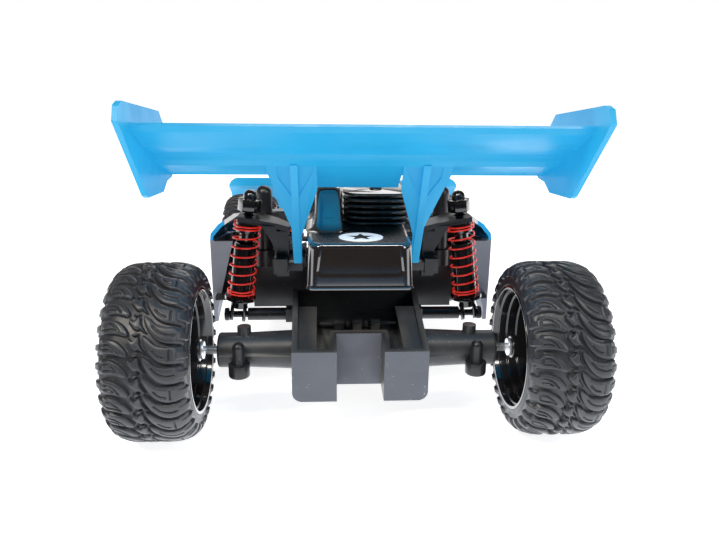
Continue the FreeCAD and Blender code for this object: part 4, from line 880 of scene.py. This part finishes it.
def cover_rings():
    """Lip, walls with the sunk window, a rounded top edge and the flat top."""
    lip = ((0.0, 0.25, 4.0), (0.1, 0.0, 4.2), (0.7, 0.0, 4.2), (1.1, 0.5, 4.0))
    rings = [cover_ring(COVER_FOOT_Z + rise, inset, corner) for rise, inset, corner in lip]
    for step in range(WALL_STEPS):
        rise = WALL_STEP * step
        rings.append(cover_ring(WALL_FOOT_Z + rise, 0.6 + 0.03 * rise, 4.0 + 0.12 * rise))
    rounding = ((1.4, 1.25), (0.8, 1.55), (0.35, 2.0), (0.1, 2.6), (0.0, 3.4), (0.0, 6.0), (0.0, 12.0))
    rings += [cover_ring(PLATEAU_Z - drop, inset, 6.2) for drop, inset in rounding]
    return rings


def intake_rings():
    """Intake with a back that leans forward and a foot that flares into the cover's top."""
    flare = ((100.3, 4.6, 6.6), (100.5, 3.6, 6.4), (100.9, 2.6, 6.0), (101.7, 1.6, 5.4),
             (103.2, 0.9, 4.6))
    walls = ((106.0, 0.4, 4.2), (112.0, 0.1, 4.0), (117.6, -0.2, 4.0))
    crown = ((118.8, -0.6, 3.8), (119.5, -1.2, 3.4), (119.9, -2.2, 2.8), (120.0, -3.2, 2.0))
    rings = []
    for z, spread, corner in flare + walls + crown:
        lean = max(z - 101.0, 0.0) * INTAKE_LEAN
        half = INTAKE_HALF_WIDTH + spread
        back = INTAKE_BACK - spread + lean
        outline = rounded_outline(half, half, back, INTAKE_FRONT + spread, corner, 20)
        rings.append([Vector((INTAKE_MIDDLE_X + x, y, z)) for x, y in outline])
    return rings


def from_rear_axle(points):
    """Points given in mm from the rear axle's line and the ground, in metres in the scene."""
    return [Vector((x * MM, REAR_AXLE.y + y * MM, z * MM)) for x, y, z in points]


def make_engine_cover():
    vertices, faces = lofted(cover_rings())
    more, loops = lofted(intake_rings())
    faces += [tuple(len(vertices) + i for i in loop) for loop in loops]
    piece = new_object("engine_cover_gloss", from_rear_axle(vertices + more), faces, PIANO)
    piece.data.set_sharp_from_angle(angle=TURNED_SHARP_ANGLE)
    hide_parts("engine_cover")
    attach(piece, "chassis")


def flat_shape(name, outline, z, thickness, material):
    """Thin plate with a plan outline given in mm from the rear axle."""
    count = len(outline)
    points = [(x, y, z) for x, y in outline] + [(x, y, z + thickness) for x, y in outline]
    faces = [tuple(reversed(range(count))), tuple(range(count, 2 * count))]
    faces += [(i, (i + 1) % count, (i + 1) % count + count, i + count) for i in range(count)]
    piece = new_object(name, from_rear_axle(points), faces, material, smooth=False)
    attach(piece, "chassis")


BADGE_MIDDLE = (0.7, -5.5)
BADGE_HALF = (10.2, 8.8)
STAR_RADIUS = 6.4
STAR_WAIST = 0.42 * STAR_RADIUS


def around_badge(angle, half_x, half_y):
    return (BADGE_MIDDLE[0] + half_x * math.cos(angle), BADGE_MIDDLE[1] + half_y * math.sin(angle))


def make_badge():
    """Plain white oval with a star on the cover's top."""
    oval = [around_badge(2 * math.pi * step / 64, *BADGE_HALF) for step in range(64)]
    flat_shape("badge_plate", oval, PLATEAU_Z - 0.1, 0.3, BADGE_WHITE)
    star = []
    for step in range(10):
        reach = STAR_RADIUS if step % 2 == 0 else STAR_WAIST
        star.append(around_badge(math.pi / 2 + math.pi * step / 5, reach, reach))
    flat_shape("badge_star", star, PLATEAU_Z + 0.1, 0.2, BLACK)


# ---- the CAD parts that keep their shape, with eased edges ----

GUARD_INSIDE = 76.5 * MM
LOBES_START_Y = REAR_AXLE.y - 10.0 * MM
FINE_EDGE = 0.2 * MM
SMALL_EDGE = 0.25 * MM
WIDE_EDGE = 0.5 * MM


# The outer guard faces, which get the pale grey of the painted reflection.
def on_guard(centre, normal):
    return abs(centre.x) > GUARD_INSIDE


# The rear-facing backs of the lobes, which get the paler grey of the painted reflection.
def on_lobe_back(centre, normal):
    return centre.y < LOBES_START_Y and normal.y < -0.95


def make_plastic_parts():
    """Flat-sided mouldings; the side guards and the backs of the bumper lobes get a paler grey, a painted
    reflection of the white floor and backdrop.
    """
    for node in ("chassis_tub", "rear_shock_tower", "front_shock_tower", "front_arm_left",
                 "front_arm_right", "steering_link", "steering_knuckle_left", "steering_knuckle_right",
                 "battery_door", "shock_mount_bars", "body_posts"):
        eased(node, SMALL_EDGE, BLACK)
    eased("front_bumper", WIDE_EDGE, BLACK)
    repaint(eased("side_pods", SMALL_EDGE, BLACK), GUARD, on_guard)
    for node in ("gearbox_upper", "gearbox_lower"):
        repaint(eased(node, WIDE_EDGE, GEAR_CASE), PAINTED_REFLECTION_GREY, on_lobe_back)
    eased("rear_wing", 0.6 * MM, BLUE)
    eased("front_fenders", WIDE_EDGE, BLUE)
    eased("body_shell", 0.7 * MM, SHELL, segments=3)
    eased("canopy_window", 0.3 * MM, GLAZING)


def make_turned_parts():
    """Round pieces, shaded smoothly."""
    eased("engine_head", 0.3 * MM, FINS, flat_faces=False)
    eased("axle_tube_bolts", 0.4 * MM, BLACK, flat_faces=False)
    for node in ("rear_shock_rod_left", "rear_shock_rod_right", "front_shock_rods"):
        eased(node, SMALL_EDGE, GLOSS, flat_faces=False)
    for node in ("rear_shock_body_left", "rear_shock_body_right", "front_shock_body_left",
                 "front_shock_body_right"):
        eased(node, FINE_EDGE, GLOSS, flat_faces=False)
    for node in ("rear_axle_shaft", "rear_axle_washers", "rear_wheel_nuts", "front_stub_axle_left",
                 "front_stub_axle_right"):
        eased(node, FINE_EDGE, STEEL, flat_faces=False)


def paint_hidden_parts():
    paint(["suspension_pins"], STEEL)
    paint(["gearbox_screws", "case_screws", "drive_motor"], ZINC)
    paint(["axle_bushes"], BRONZE)
    paint(["axle_gear", "idler_gear", "servo_horn"], NYLON)
    paint(["motor_pinion"], BRASS)
    paint(["battery_pack"], SLEEVE)
    paint(["receiver_board"], BOARD)
    paint(["steering_servo", "power_switch"], GREY)


# ---- studio ----

DARK_END_Y = -0.53
BRIGHT_START_Y = -0.44


def color_ramp(tree, value, stops):
    """Color that runs through the stops, given as (place, color), as the value goes from 0 to 1."""
    ramp = tree.nodes.new("ShaderNodeValToRGB")
    elements = ramp.color_ramp.elements
    while len(elements) < len(stops):
        elements.new(0.5)
    for element, (place, color) in zip(elements, stops):
        element.position = place
        element.color = rgba(color)
    tree.links.new(value, ramp.inputs["Fac"])
    return ramp.outputs["Color"]


def pale_floor():
    """White table, brightly lit up to just behind the car and dark beyond; plain white to the camera."""
    material = blank_material("pale_table")
    output = add(material, "ShaderNodeOutputMaterial")
    behind = remap(material, axis_value(material, "Y"), DARK_END_Y, BRIGHT_START_Y, 0.0, 1.0)
    brown, blue, white = (0.012, 0.008, 0.006), (0.025, 0.070, 0.135), (0.95, 0.97, 1.0)
    stops = ((0.0, brown), (0.45, blue), (0.85, blue), (1.0, white))
    glow = add(material, "ShaderNodeEmission", strength=2.0)
    link(material, color_ramp(material.node_tree, behind, stops), glow.inputs["Color"])
    seen = add(material, "ShaderNodeBsdfPrincipled", base_color=rgba((0.93, 0.93, 0.94)), roughness=0.8)
    seen.inputs["Emission Color"].default_value = rgba((1.0, 1.0, 1.0))
    distance = add(material, "ShaderNodeVectorMath", operation="LENGTH")
    link(material, position(material), distance.inputs[0])
    outward = remap(material, distance.outputs["Value"], 0.3, 0.6, 0.82, 1.0)
    link(material, outward, seen.inputs["Emission Strength"])
    rays = add(material, "ShaderNodeLightPath")
    blend = add(material, "ShaderNodeMixShader")
    link(material, rays.outputs["Is Camera Ray"], blend.inputs["Fac"])
    link(material, glow.outputs["Emission"], blend.inputs[1])
    link(material, seen.outputs["BSDF"], blend.inputs[2])
    link(material, blend.outputs["Shader"], output.inputs["Surface"])
    return material


FLOOR_HALF = 6.0
FLOOR_Z = -0.2 * MM


def make_floor():
    turns = ((-1, -1), (1, -1), (1, 1), (-1, 1))
    corners = [(x * FLOOR_HALF, y * FLOOR_HALF, FLOOR_Z) for x, y in turns]
    floor = new_object("studio_floor", corners, [(0, 1, 2, 3)], pale_floor(), smooth=False)


def make_world():
    """Plain white to the camera; to the car a white backdrop ahead and a dim room behind and above."""
    world = bpy.data.worlds.new("studio")
    bpy.context.scene.world = world
    world.use_nodes = True
    tree = world.node_tree
    tree.nodes.clear()
    output = tree.nodes.new("ShaderNodeOutputWorld")
    coordinates = tree.nodes.new("ShaderNodeTexCoord")
    split = tree.nodes.new("ShaderNodeSeparateXYZ")
    tree.links.new(coordinates.outputs["Generated"], split.inputs["Vector"])
    white, dim_above, dim_behind = (1.0, 1.0, 1.0), (0.13, 0.125, 0.12), (0.10, 0.085, 0.075)
    upward = color_ramp(tree, split.outputs["Z"], ((0.05, white), (0.32, dim_above)))
    ahead = color_ramp(tree, split.outputs["Y"], ((0.0, dim_behind), (0.25, white)))
    product = tree.nodes.new("ShaderNodeMix")
    product.data_type = "RGBA"
    product.blend_type = "MULTIPLY"
    product.inputs["Factor"].default_value = 1.0
    tree.links.new(upward, product.inputs[6])
    tree.links.new(ahead, product.inputs[7])
    room = tree.nodes.new("ShaderNodeBackground")
    room.inputs["Strength"].default_value = 1.0
    tree.links.new(product.outputs[2], room.inputs["Color"])
    backdrop = tree.nodes.new("ShaderNodeBackground")
    backdrop.inputs["Color"].default_value = rgba(white)
    rays = tree.nodes.new("ShaderNodeLightPath")
    blend = tree.nodes.new("ShaderNodeMixShader")
    tree.links.new(rays.outputs["Is Camera Ray"], blend.inputs["Fac"])
    tree.links.new(room.outputs["Background"], blend.inputs[1])
    tree.links.new(backdrop.outputs["Background"], blend.inputs[2])
    tree.links.new(blend.outputs["Shader"], output.inputs["Surface"])


def area_light(name, location, target, size, power, color):
    """Rectangular lamp at a place, in metres, that shines at a target."""
    data = bpy.data.lights.new(name, "AREA")
    data.shape = "RECTANGLE"
    data.size, data.size_y = size
    data.energy = power
    data.color = color
    lamp = bpy.data.objects.new(name, data)
    bpy.context.scene.collection.objects.link(lamp)
    lamp.location = location
    lamp.rotation_euler = (Vector(target) - Vector(location)).to_track_quat("-Z", "Y").to_euler()


def make_lights():
    area_light("key", (-0.55, -0.75, 0.95), (0, -0.05, 0.08), (0.30, 0.30), 8.0, (1.0, 0.93, 0.82))
    area_light("strip", (0.10, -0.62, 0.85), (0, -0.08, 0.09), (0.60, 0.06), 3.5, (1.0, 0.97, 0.93))
    area_light("fill", (0.80, -0.70, 0.55), (0, -0.05, 0.08), (0.30, 0.50), 3.0, (0.90, 0.95, 1.0))
    area_light("back", (0.2, 1.1, 0.9), (0, 0, 0.05), (1.0, 0.5), 5.0, (1.0, 1.0, 1.0))


CAMERA_FROM_AXLE = Vector((-16.1, -292.1, 167.3)) * MM
CAMERA_YAW = math.radians(3.26)
CAMERA_PITCH = math.radians(16.0)
CAMERA_ROLL = math.radians(-0.66)
CAMERA_LENS = 32.04


def make_camera():
    """Behind the car, a little left of its middle and looking down at it."""
    yaw, pitch, roll = CAMERA_YAW, CAMERA_PITCH, CAMERA_ROLL
    heading = Vector((math.sin(yaw), math.cos(yaw), 0))
    forward = heading * math.cos(pitch) - Vector((0, 0, math.sin(pitch)))
    level = Vector((math.cos(yaw), -math.sin(yaw), 0))
    down = forward.cross(level)
    right = level * math.cos(roll) + down * math.sin(roll)
    up = level * math.sin(roll) - down * math.cos(roll)
    data = bpy.data.cameras.new("camera")
    data.lens = CAMERA_LENS
    data.clip_start = 0.01
    camera = bpy.data.objects.new("camera", data)
    bpy.context.scene.collection.objects.link(camera)
    turn = Matrix((right, up, -forward)).transposed().to_4x4()
    under_axle = Vector((0, REAR_AXLE.y, 0))
    camera.matrix_world = Matrix.Translation(under_axle + CAMERA_FROM_AXLE) @ turn
    bpy.context.scene.camera = camera


make_tyres()
make_rims()
make_springs()
make_engine_cover()
make_badge()
make_plastic_parts()
make_turned_parts()
paint_hidden_parts()
make_floor()
make_world()
make_lights()
make_camera()
bpy.context.scene.view_settings.view_transform = "Standard"
